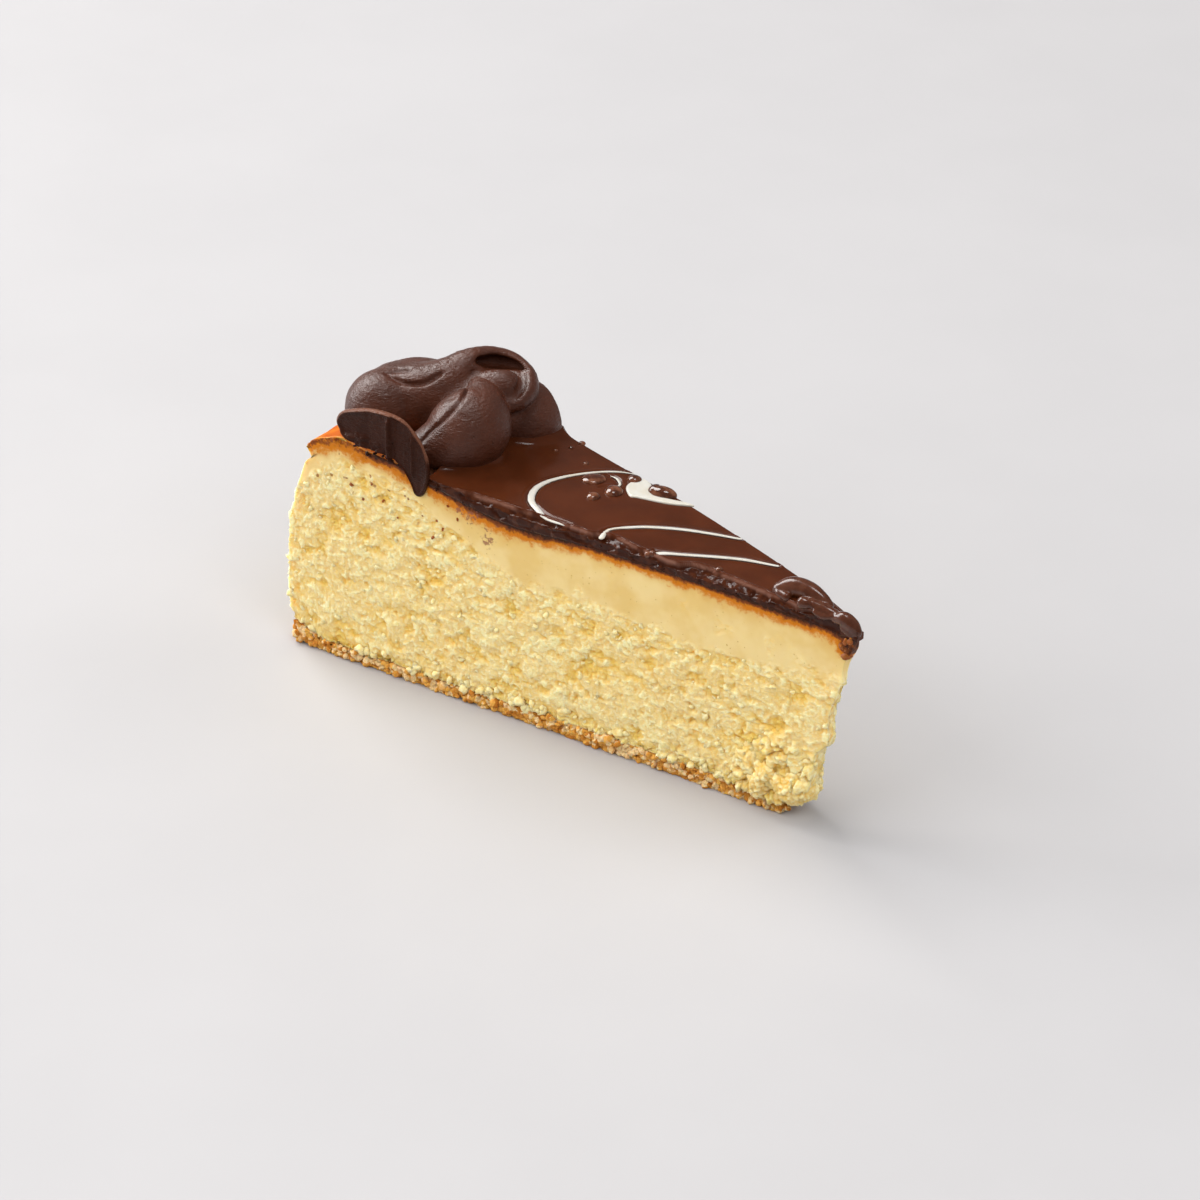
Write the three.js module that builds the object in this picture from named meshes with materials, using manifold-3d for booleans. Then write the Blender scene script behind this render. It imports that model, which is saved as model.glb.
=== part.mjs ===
// A slice of baked cheesecake: a biscuit-crumb base, tall baked custard with a browned rim,
// a chocolate glaze with pale drizzle lines, a piped chocolate swirl at the wide end and a
// knife-cut sliver of the next swirl that clings to the cut face.
// Millimetres, +Z up. The point of the slice is towards +X, its near cut face towards -Y,
// and the origin is on the ground under the middle of the slice.

import * as THREE from 'three';
import { mergeVertices } from 'three/addons/utils/BufferGeometryUtils.js';
import Module from 'manifold-3d';

const wasm = await Module();
wasm.setup();

// Driving sizes of the slice
const CAKE_RADIUS = 127.6;
const WEDGE_ANGLE = 19.8 * Math.PI / 180;
const TIP_OVERHANG = 2.4;
const TIP_X = (CAKE_RADIUS - TIP_OVERHANG) / 2;
const TIP_HALF_WIDTH = 0.7;
const TIP_WIDTH_FADE = 7;
const LAYER_GAP = 0.3;
const ENVELOPE_UNDERCUT = 0.02;
const ROOM_CLEARANCE = 0.4;

// How far the far cut strays out of its plane, as [distance from the point, distance outwards]
const FAR_CUT_STRAY = [
  [0, 0.3], [6, 1.6], [15, 2.7], [30, 3.1], [45, 2.9], [60, 2.1], [75, 1.4], [90, 0.9], [115, 0],
];

// Section of the custard along the cut face, as [distance from the point, height]
const TOP_PROFILE = [
  [-0.2, 42.3], [9, 42.9], [27, 43.3], [57, 43.5], [74, 42.7], [90, 45.3], [100, 47.8], [108.5, 48.7],
  [113.2, 49.7], [117, 48.6], [119.7, 47.4], [121.5, 45.4],
];
const WALL_PROFILE = [
  [126.6, 5.2], [127.5, 9.5], [127.4, 18], [126.6, 27.6], [125.2, 32.4], [123.6, 37.4], [121.8, 42.1],
  [120.3, 43.3], [121.5, 45.4],
];
const TIP_PROFILE = [
  [9.5, 3.4], [6.6, 6.5], [5.1, 13], [5.2, 17.5], [4.1, 21], [3.6, 26.3], [2.8, 33], [0.9, 37], [0, 40],
  [-0.2, 42.3],
];
const BASE_PROFILE = [
  [9.5, 3], [28, 3], [50, 3], [80, 2.6], [105, 2.2], [119, 2.4], [126.6, 4.9],
];

// Relief of the cut faces and the sagging lump of curds at the foot of the point
const CURD_RELIEF = 0.45;
const CURD_WAVE = 4.3;
const CURD_MEAN_DEPTH = 0.8;
const FAR_FACE_SHIFT = 57;
const BOTTOM_SPACING = 1.25;
const WALL_SPACING = 1.5;
const FAR_LUMP_SHARE = 0.4;
const LUMP = { distance: 15, height: 7, halfLength: 10, halfHeight: 8.5, depth: 2.6 };

// Crumb base
const BASE_FRONT = 12;
const BASE_WALL = 126.8;
const CRUMB_RELIEF = 0.4;
const CRUMB_WAVE = 3.1;
const CRUMB_ROW_SHIFT = 9;
const CRUMB_LAYER_SHIFT = 5;
const CRUMB_INSET = 0.2;

// Glaze that fills the sunken middle of the cake
const GLAZE_BACK = 91.6;
const GLAZE_FRONT = -0.4;
const GLAZE_PROFILE = [
  [-0.4, 44.3], [6, 45.3], [18, 45.5], [35, 45.9], [55, 46.5], [80, 46.5], [93, 46.9],
];
const GLAZE_EDGE_ROUND = 0.6;
const GLAZE_RAGGED = 0.35;
const GLAZE_WAVE = 3.7;
const GLAZE_TIP_FADE = 12;

// Pale drizzle lines as [x from the point, y, half width], lying half sunk in the glaze
const DRIZZLE_LINES = [
  [
    [-64.2, 12.8, 0.5], [-67.2, 11.2, 0.6], [-71.2, 6, 0.7], [-74.4, 0, 0.8], [-74.6, -3.2, 0.9],
    [-72, -7.6, 0.9], [-67.4, -10.1, 0.7], [-64, -10.6, 0.6],
  ],
  [[-53, -8, 0.7], [-53.2, -5.4, 0.6], [-49.4, -0.8, 0.6], [-44.3, 3.1, 0.6], [-36, 7.2, 0.5]],
  [[-42.1, -6.1, 0.8], [-39.1, -4.1, 0.7], [-33.3, 0.1, 0.6], [-25.4, 4.9, 0.5]],
];
const DRIZZLE_FLATNESS = 0.55;
const DRIZZLE_SIDES = 8;
const DRIZZLE_STEP = 2.2;

// Round drops and pools on the glaze as [x from the point, y, half length, half width, half height]
const DROPS = [
  [-68.6, 6.1, 2.5, 1.3, 0.7], [-65.7, 7.9, 1.4, 1, 0.6], [-63.4, 5.1, 1.2, 1, 0.7],
  [-56.8, 10.8, 3.4, 1.6, 1.1], [-60.6, 9.2, 2.2, 2.2, 0.6], [-52.6, 9, 3.4, 1, 0.6],
];

// Thick lumps of glaze at the point, with their height above the ground as a sixth value
const TIP_LUMPS = [
  [-12.6, -0.1, 5, 1.7, 1.9, 45.6], [-15.6, -1.3, 2.2, 1.6, 1.6, 45.6], [-6.6, -0.5, 4, 1.1, 1.1, 45.4],
  [-0.6, 0, 2.9, 1.3, 1.5, 43.8], [-1, 0, 1.9, 1, 2.4, 42.7],
];

// Piped swirl: its centre, then each rope as [towards the point, towards the far side, height, radius]
const SWIRL_CENTRE = [-104.5, 3, 46.5];
const ROOM = { back: 123.5, front: 70, height: 60 };
const SWIRL_ROPES = {
  leftLobe: [[-5.9, 2, 3.6, 6], [-8.4, -3.4, 4.4, 7], [-7.6, -9.8, 4.8, 7.3]],
  diagonalAndTopLoop: [
    [-7.6, -9.8, 4.8, 7.3], [-3.8, -11.9, 6.2, 7.1], [1.1, -10.7, 7.4, 6.9], [4.4, -6.5, 9.6, 5.6],
    [5.2, -0.9, 12, 4.4], [5.3, 4.5, 12.9, 3.6], [7, 8.6, 12, 3.1], [10.7, 10.4, 10.8, 3],
    [13.4, 7.7, 9.3, 2.9], [13.6, 3.3, 8, 2.9], [11.3, 0.3, 7, 2.6],
  ],
  innerLobe: [[5.4, 3.7, 9.8, 3.2], [8.8, 5.2, 10.3, 3.8], [10.8, 6, 10.2, 3.7]],
  frontLobe: [
    [10.1, -1, 10.6, 2.5], [11.8, -3, 8.4, 4.5], [12.4, -6.5, 5.2, 7.5], [8.8, -10.4, 3.2, 6],
    [4.6, -12.6, 2.2, 4.2],
  ],
  rightLobe: [[9.3, 3.2, 3, 6], [12.7, 8.8, 3, 7]],
  backLobe: [[10.4, 11, 2.6, 6.2], [2.9, 11.6, 2.2, 5.7], [-2.6, 7.2, 2.4, 6], [-5.9, 2, 3.6, 6]],
  heart: [[-3, -2, 3.4, 7], [2, -0.5, 4, 8.2], [7, 2.4, 4.6, 7]],
  crown: [[4.5, 0.5, 7.5, 5], [7.5, 4, 7.2, 5], [9.5, 6, 7, 4.5]],
};
const ROPE_SIDES = 20;
const ROPE_STEP = 2.8;
const LARGE_ROPE_RADIUS = 5;
const FINE_STEP_SHARE = 0.6;
const CAP_ANGLES = [81 * Math.PI / 180, 45 * Math.PI / 180];

// Sliver of the next swirl: a thin cap standing on the rim, with a flap dragged down the cut face.
// Its outline is [distance from the point, height] on the near cut face.
const SLIVER_OUTLINE = [
  [110.6, 51], [112.4, 52.2], [113.2, 54], [111.9, 56.1], [109.3, 57.3], [105.3, 58.4], [101.1, 58.7],
  [97.6, 58], [94.9, 55.8], [93.2, 53.4], [92.1, 50.4], [92.2, 47], [93.4, 43.6], [94.9, 42.8],
  [96.2, 45.2], [98.2, 48.2], [101.5, 49.9], [106, 50.4],
];
const SLIVER_FACE = 1.5;
const SLIVER_BACK = 0.35;
const SLIVER_BELLY = { distance: 102.5, height: 52.6, length: 8.8, rise: 5, depth: 1.6, front: 0.9 };

const MATERIALS = {
  custard: { color: 0xf0d59a, roughness: 0.75 },
  crumb: { color: 0xb98a4f, roughness: 0.9 },
  glaze: { color: 0x5a2a1c, roughness: 0.22 },
  chocolate: { color: 0x4f2f26, roughness: 0.5 },
};

const mix = (low, high, share) => low + (high - low) * share;

// A smooth uneven value between about -1 and 1, from three crossing waves
function unevenness(a, b, scale) {
  const p = a / scale;
  const q = b / scale;
  const first = Math.sin(2.1 * p + 1.3 * Math.sin(1.7 * q + 0.6));
  const second = Math.sin(2.9 * q + 1.1 * Math.sin(2.3 * p + 2.1));
  const third = Math.sin(4.7 * p - 3.9 * q + 0.9);
  return (first + second + 0.7 * third) / 2.2;
}

// Height of a profile at a distance, by a curve through its points
function heightAt(profile, distance) {
  const last = profile.length - 1;
  const clamped = Math.min(Math.max(distance, profile[0][0]), profile[last][0]);
  let right = 1;
  while (right < last && profile[right][0] < clamped) {
    right += 1;
  }
  const left = right - 1;
  const slope = (index) => {
    const before = profile[Math.max(index - 1, 0)];
    const after = profile[Math.min(index + 1, last)];
    return (after[1] - before[1]) / (after[0] - before[0]);
  };
  const span = profile[right][0] - profile[left][0];
  const t = (clamped - profile[left][0]) / span;
  const rise = profile[right][1] - profile[left][1];
  const curve = slope(left) * span * t * (1 - t) ** 2 - slope(right) * span * t ** 2 * (1 - t);
  return profile[left][1] + rise * (3 - 2 * t) * t ** 2 + curve;
}

// A point of the slice from its distance to the point, share across (0 near, 1 far) and height
function inSlice(distance, across, height) {
  const angle = WEDGE_ANGLE * (across - 0.5);
  const blade = TIP_HALF_WIDTH * (2 * across - 1) * Math.exp(-Math.max(distance, 0) / TIP_WIDTH_FADE);
  const reach = Math.max(distance, 0);
  const stray = across * heightAt(FAR_CUT_STRAY, reach);
  return [TIP_X - distance + reach * (1 - Math.cos(angle)), reach * Math.sin(angle) + blade + stray, height];
}

// Point on a section patch between four edges, from back (u = 0) to tip (1) and bottom (w = 0) to top (1)
function onPatch(edges, u, w) {
  const [bottom, top] = [edges.bottom(u), edges.top(u)];
  const [back, tip] = [edges.back(w), edges.tip(w)];
  const corners = [edges.bottom(0), edges.bottom(1), edges.top(0), edges.top(1)];
  return [0, 1].map((axis) => (
    mix(bottom[axis], top[axis], w) + mix(back[axis], tip[axis], u)
    - mix(mix(corners[0][axis], corners[1][axis], u), mix(corners[2][axis], corners[3][axis], u), w)
  ));
}

// Closed block with counts cells along (u, v, w): back to tip, near to far and bottom to top
function blockGeometry(counts, place) {
  const vertexNumbers = new Map();
  const positions = [];
  const triangles = [];
  const vertexAt = (cell) => {
    const key = cell.join(' ');
    if (!vertexNumbers.has(key)) {
      vertexNumbers.set(key, positions.length / 3);
      positions.push(...place(cell[0] / counts[0], cell[1] / counts[1], cell[2] / counts[2]));
    }
    return vertexNumbers.get(key);
  };
  for (const normal of [0, 1, 2]) {
    const across = (normal + 1) % 3;
    const up = (normal + 2) % 3;
    for (const end of [0, counts[normal]]) {
      for (let a = 0; a < counts[across]; a += 1) {
        for (let b = 0; b < counts[up]; b += 1) {
          const quad = [[0, 0], [1, 0], [1, 1], [0, 1]].map(([stepA, stepB]) => {
            const cell = [0, 0, 0];
            cell[normal] = end;
            cell[across] = a + stepA;
            cell[up] = b + stepB;
            return vertexAt(cell);
          });
          if (end === 0) {
            quad.reverse();
          }
          triangles.push(quad[0], quad[1], quad[2], quad[0], quad[2], quad[3]);
        }
      }
    }
  }
  const geometry = new THREE.BufferGeometry();
  geometry.setAttribute('position', new THREE.Float32BufferAttribute(positions, 3));
  geometry.setIndex(triangles);
  return geometry;
}

// Tube of changing radius along a smooth path of [x, y, z, radius], with round ends
function ropeGeometry(path, sides, step, flatness = 1) {
  const centres = new THREE.CatmullRomCurve3(path.map((point) => new THREE.Vector3(...point.slice(0, 3))));
  const radii = new THREE.SplineCurve(path.map((point, index) => new THREE.Vector2(index, point[3])));
  const length = centres.getLength();
  const steps = Math.max(3, Math.ceil(length / step));
  const up = new THREE.Vector3(0, 0, 1);
  const rings = [];
  const addRing = (t, push, shrink) => {
    const share = centres.getUtoTmapping(t);
    const radius = radii.getPoint(share).y;
    const tangent = centres.getTangentAt(t);
    const side = new THREE.Vector3().crossVectors(tangent, up).normalize();
    const lift = new THREE.Vector3().crossVectors(side, tangent).normalize();
    const centre = centres.getPointAt(t).addScaledVector(tangent, push * radius * flatness);
    rings.push({ centre, side, lift, radius: radius * shrink });
  };
  CAP_ANGLES.forEach((angle) => addRing(0, -Math.sin(angle), Math.cos(angle)));
  for (let index = 0; index <= steps; index += 1) {
    addRing(index / steps, 0, 1);
  }
  [...CAP_ANGLES].reverse().forEach((angle) => addRing(1, Math.sin(angle), Math.cos(angle)));
  const positions = [];
  for (const ring of rings) {
    for (let index = 0; index < sides; index += 1) {
      const angle = 2 * Math.PI * index / sides;
      const point = ring.centre.clone()
        .addScaledVector(ring.side, ring.radius * Math.cos(angle))
        .addScaledVector(ring.lift, ring.radius * flatness * Math.sin(angle));
      positions.push(point.x, point.y, point.z);
    }
  }
  const triangles = [];
  for (let ring = 0; ring < rings.length - 1; ring += 1) {
    for (let index = 0; index < sides; index += 1) {
      const next = (index + 1) % sides;
      const [a, b] = [ring * sides + index, ring * sides + next];
      triangles.push(a, b, b + sides, a, b + sides, a + sides);
    }
  }
  const lastRing = (rings.length - 1) * sides;
  for (let index = 1; index < sides - 1; index += 1) {
    triangles.push(0, index + 1, index);
    triangles.push(lastRing, lastRing + index, lastRing + index + 1);
  }
  const geometry = new THREE.BufferGeometry();
  geometry.setAttribute('position', new THREE.Float32BufferAttribute(positions, 3));
  geometry.setIndex(triangles);
  return geometry;
}

// Turns a geometry inside out where its faces point inwards
function faceOutwards(geometry) {
  const position = geometry.getAttribute('position');
  const index = geometry.getIndex().array;
  const corners = [new THREE.Vector3(), new THREE.Vector3(), new THREE.Vector3()];
  let volume = 0;
  for (let face = 0; face < index.length; face += 3) {
    corners.forEach((corner, at) => corner.fromBufferAttribute(position, index[face + at]));
    volume += corners[0].dot(corners[1].clone().cross(corners[2]));
  }
  if (volume < 0) {
    geometry.setIndex(Array.from(index).reverse());
  }
  return geometry;
}

function solidOf(geometry) {
  const bare = geometry.clone();
  bare.deleteAttribute('normal');
  bare.deleteAttribute('uv');
  const merged = faceOutwards(mergeVertices(bare, 1e-4));
  return new wasm.Manifold(new wasm.Mesh({
    numProp: 3,
    vertProperties: new Float32Array(merged.getAttribute('position').array),
    triVerts: new Uint32Array(merged.getIndex().array),
  }));
}

function geometryOf(solid) {
  const mesh = solid.getMesh();
  const geometry = new THREE.BufferGeometry();
  geometry.setAttribute('position', new THREE.BufferAttribute(new Float32Array(mesh.vertProperties), 3));
  geometry.setIndex(Array.from(mesh.triVerts));
  return geometry;
}

const joined = (solids) => solids.reduce((whole, solid) => whole.add(solid));

// Crumb base: a low rough slab with a flat underside
function crumbBase() {
  return faceOutwards(blockGeometry([34, 6, 2], (u, v, w) => {
    const distance = mix(BASE_WALL, BASE_FRONT, u);
    const height = w * heightAt(BASE_PROFILE, distance);
    const row = CRUMB_ROW_SHIFT * v + CRUMB_LAYER_SHIFT * w;
    const rough = CRUMB_RELIEF * unevenness(distance, row, CRUMB_WAVE);
    const [x, y, z] = inSlice(distance + (u === 0 || u === 1 ? rough : 0), v, height);
    const outwards = v === 0 || v === 1 ? Math.sign(v - 0.5) : 0;
    return [x, y + outwards * (rough - CRUMB_INSET), z];
  }));
}

const CUSTARD_SECTION = {
  bottom: (u) => {
    const distance = mix(WALL_PROFILE[0][0], TIP_PROFILE[0][0], u ** BOTTOM_SPACING);
    return [distance, heightAt(BASE_PROFILE, distance) + LAYER_GAP];
  },
  top: (u) => {
    const distance = mix(TOP_PROFILE[TOP_PROFILE.length - 1][0], TOP_PROFILE[0][0], u ** BOTTOM_SPACING);
    return [distance, heightAt(TOP_PROFILE, distance)];
  },
  back: (w) => alongProfile(WALL_PROFILE, 1 - (1 - w) ** WALL_SPACING),
  tip: (w) => alongProfile(TIP_PROFILE, w),
};

function alongProfile(profile, share) {
  const curve = new THREE.SplineCurve(profile.map((point) => new THREE.Vector2(...point)));
  const point = curve.getPointAt(share);
  return [point.x, point.y];
}

// How far the sagging curds stand out of a cut face at a distance and height
function lumpDepth(distance, height) {
  const along = (distance - LUMP.distance) / LUMP.halfLength;
  const up = (height - LUMP.height) / LUMP.halfHeight;
  return LUMP.depth * Math.exp(-((along ** 2 + up ** 2) ** 1.5));
}

// Custard: tall body with a bulging browned wall, a lip over a notch, curds and a crumbled point
function custard() {
  return faceOutwards(blockGeometry([42, 8, 14], (u, v, w) => {
    const [distance, height] = onPatch(CUSTARD_SECTION, u, w);
    const [x, y, z] = inSlice(distance, v, height);
    const onSide = v === 0 || v === 1;
    if (!onSide || w === 0 || w === 1) {
      return [x, y, z];
    }
    const outwards = Math.sign(v - 0.5);
    const shift = v === 0 ? 0 : FAR_FACE_SHIFT;
    const curds = CURD_RELIEF * (unevenness(distance + shift, height, CURD_WAVE) - CURD_MEAN_DEPTH);
    const lump = lumpDepth(distance, height) * (v === 0 ? 1 : FAR_LUMP_SHARE);
    return [x, y + outwards * (curds + lump), z];
  }));
}

// Glaze: a level pool over the sunken middle, with drizzle, drops and lumps fused to it
function glaze() {
  const pool = solidOf(blockGeometry([34, 8, 2], (u, v, w) => {
    const distance = mix(GLAZE_BACK, GLAZE_FRONT, u);
    const bottom = heightAt(TOP_PROFILE, distance) + LAYER_GAP;
    const edge = Math.abs(2 * v - 1) ** 8;
    const top = heightAt(GLAZE_PROFILE, distance) - GLAZE_EDGE_ROUND * edge;
    const [x, y, z] = inSlice(distance, v, mix(bottom, top, w));
    const ragged = GLAZE_RAGGED * (0.3 + unevenness(distance + FAR_FACE_SHIFT * v, 3 * w, GLAZE_WAVE));
    const inset = w === 1 ? GLAZE_EDGE_ROUND * Math.min(1, Math.max(distance, 0) / GLAZE_TIP_FADE) : 0;
    return [x, y + Math.sign(2 * v - 1) * edge * (ragged - inset), z];
  }));
  const lines = DRIZZLE_LINES.map((line) => {
    const path = line.map(([x, y, halfWidth]) => [TIP_X + x, y, heightAt(GLAZE_PROFILE, -x), halfWidth]);
    return solidOf(ropeGeometry(path, DRIZZLE_SIDES, DRIZZLE_STEP, DRIZZLE_FLATNESS));
  });
  const drop = ([x, y, halfLength, halfWidth, halfHeight, ownHeight]) => {
    const height = ownHeight ?? heightAt(GLAZE_PROFILE, -x);
    const shape = new THREE.SphereGeometry(1, 10, 6);
    shape.scale(halfLength, halfWidth, halfHeight);
    shape.translate(TIP_X + x, y, height);
    return solidOf(shape);
  };
  const whole = joined([pool, ...lines, ...[...DROPS, ...TIP_LUMPS].map(drop)]);
  return geometryOf(whole.subtract(solidOf(custardEnvelope(LAYER_GAP))));
}

// The custard's top and point enlarged by a clearance, to cut what lies on it
function custardEnvelope(clearance) {
  return blockGeometry([42, 4, 4], (u, v, w) => {
    const [distance, height] = onPatch(CUSTARD_SECTION, u, w);
    const [x, y, z] = inSlice(distance, v, height + (w === 1 ? clearance - ENVELOPE_UNDERCUT : 0));
    const sideways = Math.sign(v - 0.5) * (v === 0 || v === 1 ? clearance : 0);
    return [x + (u === 1 ? clearance : 0), y + sideways, z];
  });
}

// The room above custard and glaze, from a margin before the near cut plane to the far one
function roomOverTop(nearMargin = 0) {
  return blockGeometry([40, 2, 1], (u, v, w) => {
    const distance = mix(ROOM.back, ROOM.front, u);
    const under = Math.max(heightAt(TOP_PROFILE, distance), heightAt(GLAZE_PROFILE, distance));
    const [x, y, z] = inSlice(distance, v, under + (w === 0 ? ROOM_CLEARANCE : ROOM.height));
    return [x, y - (v === 0 ? nearMargin : 0), z];
  });
}

// Swirl: fat tapering ropes of chocolate laid in a coil and pressed onto the top
function swirl() {
  const [centreX, centreY, centreZ] = SWIRL_CENTRE;
  const ropes = Object.values(SWIRL_ROPES).map((rope) => {
    const path = rope.map(([x, y, z, radius]) => [TIP_X + centreX + x, centreY + y, centreZ + z, radius]);
    const large = Math.max(...rope.map((point) => point[3])) > LARGE_ROPE_RADIUS;
    return solidOf(ropeGeometry(path, ROPE_SIDES, large ? ROPE_STEP : ROPE_STEP * FINE_STEP_SHARE));
  });
  return geometryOf(joined(ropes).intersect(solidOf(roomOverTop())));
}

// Sliver: the outline filled between a flat cut face and a back that bellies towards the swirl
function swirlSliver() {
  const shape = new THREE.Shape();
  const outline = SLIVER_OUTLINE.map((point) => new THREE.Vector2(...point));
  shape.setFromPoints(new THREE.SplineCurve([...outline, outline[0]]).getPoints(44).slice(0, -1));
  const slab = new THREE.ExtrudeGeometry(shape, { depth: 1, steps: 1, bevelEnabled: false });
  const position = slab.getAttribute('position');
  const halfAngle = WEDGE_ANGLE / 2;
  const outwards = [Math.sin(halfAngle), -Math.cos(halfAngle)];
  for (let index = 0; index < position.count; index += 1) {
    const distance = position.getX(index);
    const height = position.getY(index);
    const share = position.getZ(index);
    const offset = mix(SLIVER_BACK, SLIVER_FACE, share);
    const [x, y, z] = inSlice(distance, 0, height);
    position.setXYZ(index, x + outwards[0] * offset, y + outwards[1] * offset, z);
  }
  const belly = new THREE.SphereGeometry(1, 20, 12);
  belly.scale(SLIVER_BELLY.length, SLIVER_BELLY.depth, SLIVER_BELLY.rise);
  belly.rotateZ(halfAngle);
  belly.translate(...inSlice(SLIVER_BELLY.distance, 0, SLIVER_BELLY.height));
  const cap = solidOf(belly).intersect(solidOf(roomOverTop(SLIVER_BELLY.front)));
  return geometryOf(solidOf(slab).add(cap));
}

function namedMesh(name, geometry, material) {
  const mesh = new THREE.Mesh(geometry, new THREE.MeshStandardMaterial({ metalness: 0, ...material }));
  mesh.name = name;
  return mesh;
}

const slice = new THREE.Group();
slice.add(namedMesh('crumb_base', crumbBase(), MATERIALS.crumb));
slice.add(namedMesh('custard', custard(), MATERIALS.custard));
slice.add(namedMesh('glaze', glaze(), MATERIALS.glaze));
slice.add(namedMesh('swirl', swirl(), MATERIALS.chocolate));
slice.add(namedMesh('swirl_sliver', swirlSliver(), MATERIALS.chocolate));

export default slice;
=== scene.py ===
import math

import bmesh
import bpy
import numpy as np
from mathutils import Matrix, Vector


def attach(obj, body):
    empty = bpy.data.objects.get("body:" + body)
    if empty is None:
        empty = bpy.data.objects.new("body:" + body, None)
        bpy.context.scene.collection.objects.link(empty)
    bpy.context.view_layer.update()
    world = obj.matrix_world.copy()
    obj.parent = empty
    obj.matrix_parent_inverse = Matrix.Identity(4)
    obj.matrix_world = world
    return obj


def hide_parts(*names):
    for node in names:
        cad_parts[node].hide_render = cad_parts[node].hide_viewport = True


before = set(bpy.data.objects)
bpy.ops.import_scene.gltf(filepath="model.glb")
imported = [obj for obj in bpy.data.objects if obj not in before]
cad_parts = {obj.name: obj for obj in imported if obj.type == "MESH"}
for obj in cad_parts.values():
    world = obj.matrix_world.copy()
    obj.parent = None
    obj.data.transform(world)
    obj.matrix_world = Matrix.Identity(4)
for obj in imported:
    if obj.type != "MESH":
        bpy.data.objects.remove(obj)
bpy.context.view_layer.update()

MM = 0.001
# Whole numbers that scramble a cell's place into a random value
CELL_MIX = (73856093, 19349663, 83492791)
SEED_MIX = 2654435761
SCRAMBLES = (2246822519, 3266489917)
RANDOM_RANGE = 0x1000000

# How far round a rope its distance is worked out, and the value where nothing is near
FIELD_REACH = 2.0
FIELD_FAR = 9.0

# Points on curves between knots, and width of the cracks between plates as a share of a cell
SPLINE_PARTS = 24
CRACK_WIDTH = 0.3

# Loose lumps: how far apart their noise is read, its size, and the gap kept above the floor
LOOSE_SPACING = 7.3
LOOSE_WOBBLE = 0.9
FLOOR_GAP = 0.03

# Sizes of the slice in millimetres, as in the frame
WEDGE_ANGLE = math.radians(19.8)
HALF_ANGLE = WEDGE_ANGLE / 2
TIP_X = 62.6
TIP_HALF_WIDTH = 0.7
TIP_WIDTH_FADE = 7.0
FAR_CUT_STRAY = [
    (0, 0.3), (6, 1.6), (15, 2.7), (30, 3.1), (45, 2.9), (60, 2.1), (75, 1.4), (90, 0.9), (115, 0),
]
TOP_PROFILE = [
    (-0.2, 42.3), (9, 42.9), (27, 43.3), (57, 43.5), (74, 42.7), (90, 45.3), (100, 47.8), (108.5, 48.7),
    (113.2, 49.7), (117, 48.6), (119.7, 47.4), (121.5, 45.4),
]
WALL_PROFILE = [
    (126.6, 5.0), (127.5, 9.5), (127.4, 18), (126.6, 27.6), (125.2, 32.4), (123.6, 37.4), (121.8, 42.1),
    (120.3, 43.3), (121.5, 45.4),
]
TIP_PROFILE = [
    (13.0, 3.1), (10.0, 5.2), (8.4, 7), (7.7, 12), (7.2, 15.8), (4.9, 18.6), (4.9, 24.4), (3.4, 29.7),
    (2.6, 32.3), (2.2, 36.2), (1.0, 38.9), (0.5, 40), (0.2, 42.3),
]
BASE_PROFILE = [(12, 3), (28, 3), (50, 3), (80, 2.6), (105, 2.2), (119, 2.4), (126.6, 4.9)]
GLAZE_PROFILE = [(-0.4, 44.3), (6, 45.3), (18, 45.5), (35, 45.9), (55, 46.5), (80, 46.5), (93, 46.9)]
GLAZE_BACK = 93.0
GLAZE_FRONT = -0.6
BASE_FRONT = 14.5
BASE_WALL = 126.8

# Piped swirl in its own turned frame: knots of (right, rise on the view, height, radius)
SWIRL_CENTRE = (-104.5, 3.0, 46.5)
SWIRL_TURN = math.radians(42.94)
VIEW_RISE_PER_HEIGHT = 0.888
VIEW_RISE_PER_DEPTH = 0.459
SWIRL_BULB = [
    (-12.6, 3.4, 4.6, 7.5), (-8.6, 4.5, 5.0, 7.4), (-4.6, 5.2, 6.4, 6.9), (-1.4, 6.6, 8.2, 5.9),
    (1.6, 8.8, 10.2, 4.7), (4.0, 11.0, 12.0, 3.7), (6.6, 12.2, 12.6, 2.9), (9.4, 12.1, 12.0, 2.8),
    (12.5, 11.0, 11.2, 2.6), (14.9, 9.0, 10.4, 2.2), (15.4, 6.8, 9.6, 2.0), (13.9, 4.7, 8.8, 1.9),
    (10.8, 3.7, 8.0, 1.9),
]
SWIRL_COIL = [
    [(-9.8, 5.1, 5.0, 7.2), (-6.2, 5.8, 5.1, 7.2), (-2.6, 6.0, 5.0, 6.3)],
    [(12.0, 1.0, 1.5, 6.8), (15.0, 0.9, 1.5, 7.4)],
    [(15.1, 2.2, 2.0, 6.2), (10.0, 4.8, 2.0, 5.7), (3.0, 5.3, 2.4, 6.0), (-3.0, 5.7, 3.6, 6.0)],
]
SWIRL_HEART = [
    [(-3.6, 3.3, 3.4, 7.0), (1.1, 2.8, 4.0, 8.2), (6.8, 2.7, 4.6, 7.0)],
    [(2.0, 5.0, 6.6, 4.0), (7.0, 7.2, 7.4, 4.0), (11.0, 6.6, 7.2, 3.8)],
]
SWIRL_INNER_LOBE = [
    (6.2, 7.4, 10.2, 2.5), (8.6, 7.5, 10.6, 3.0), (11.0, 7.3, 10.6, 3.1), (12.2, 7.0, 10.2, 2.5),
]
SWIRL_HOLLOW = [
    (5.8, 12.1, 0, 0.9), (8.3, 12.1, 0, 1.45), (11.0, 11.8, -0.1, 1.4), (13.3, 11.2, -0.4, 1.0),
    (15.0, 10.3, -0.8, 0.5),
]
SWIRL_HOLLOW_HEIGHTS = (12.2, 13.1, 13.8, 14.6)
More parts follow.
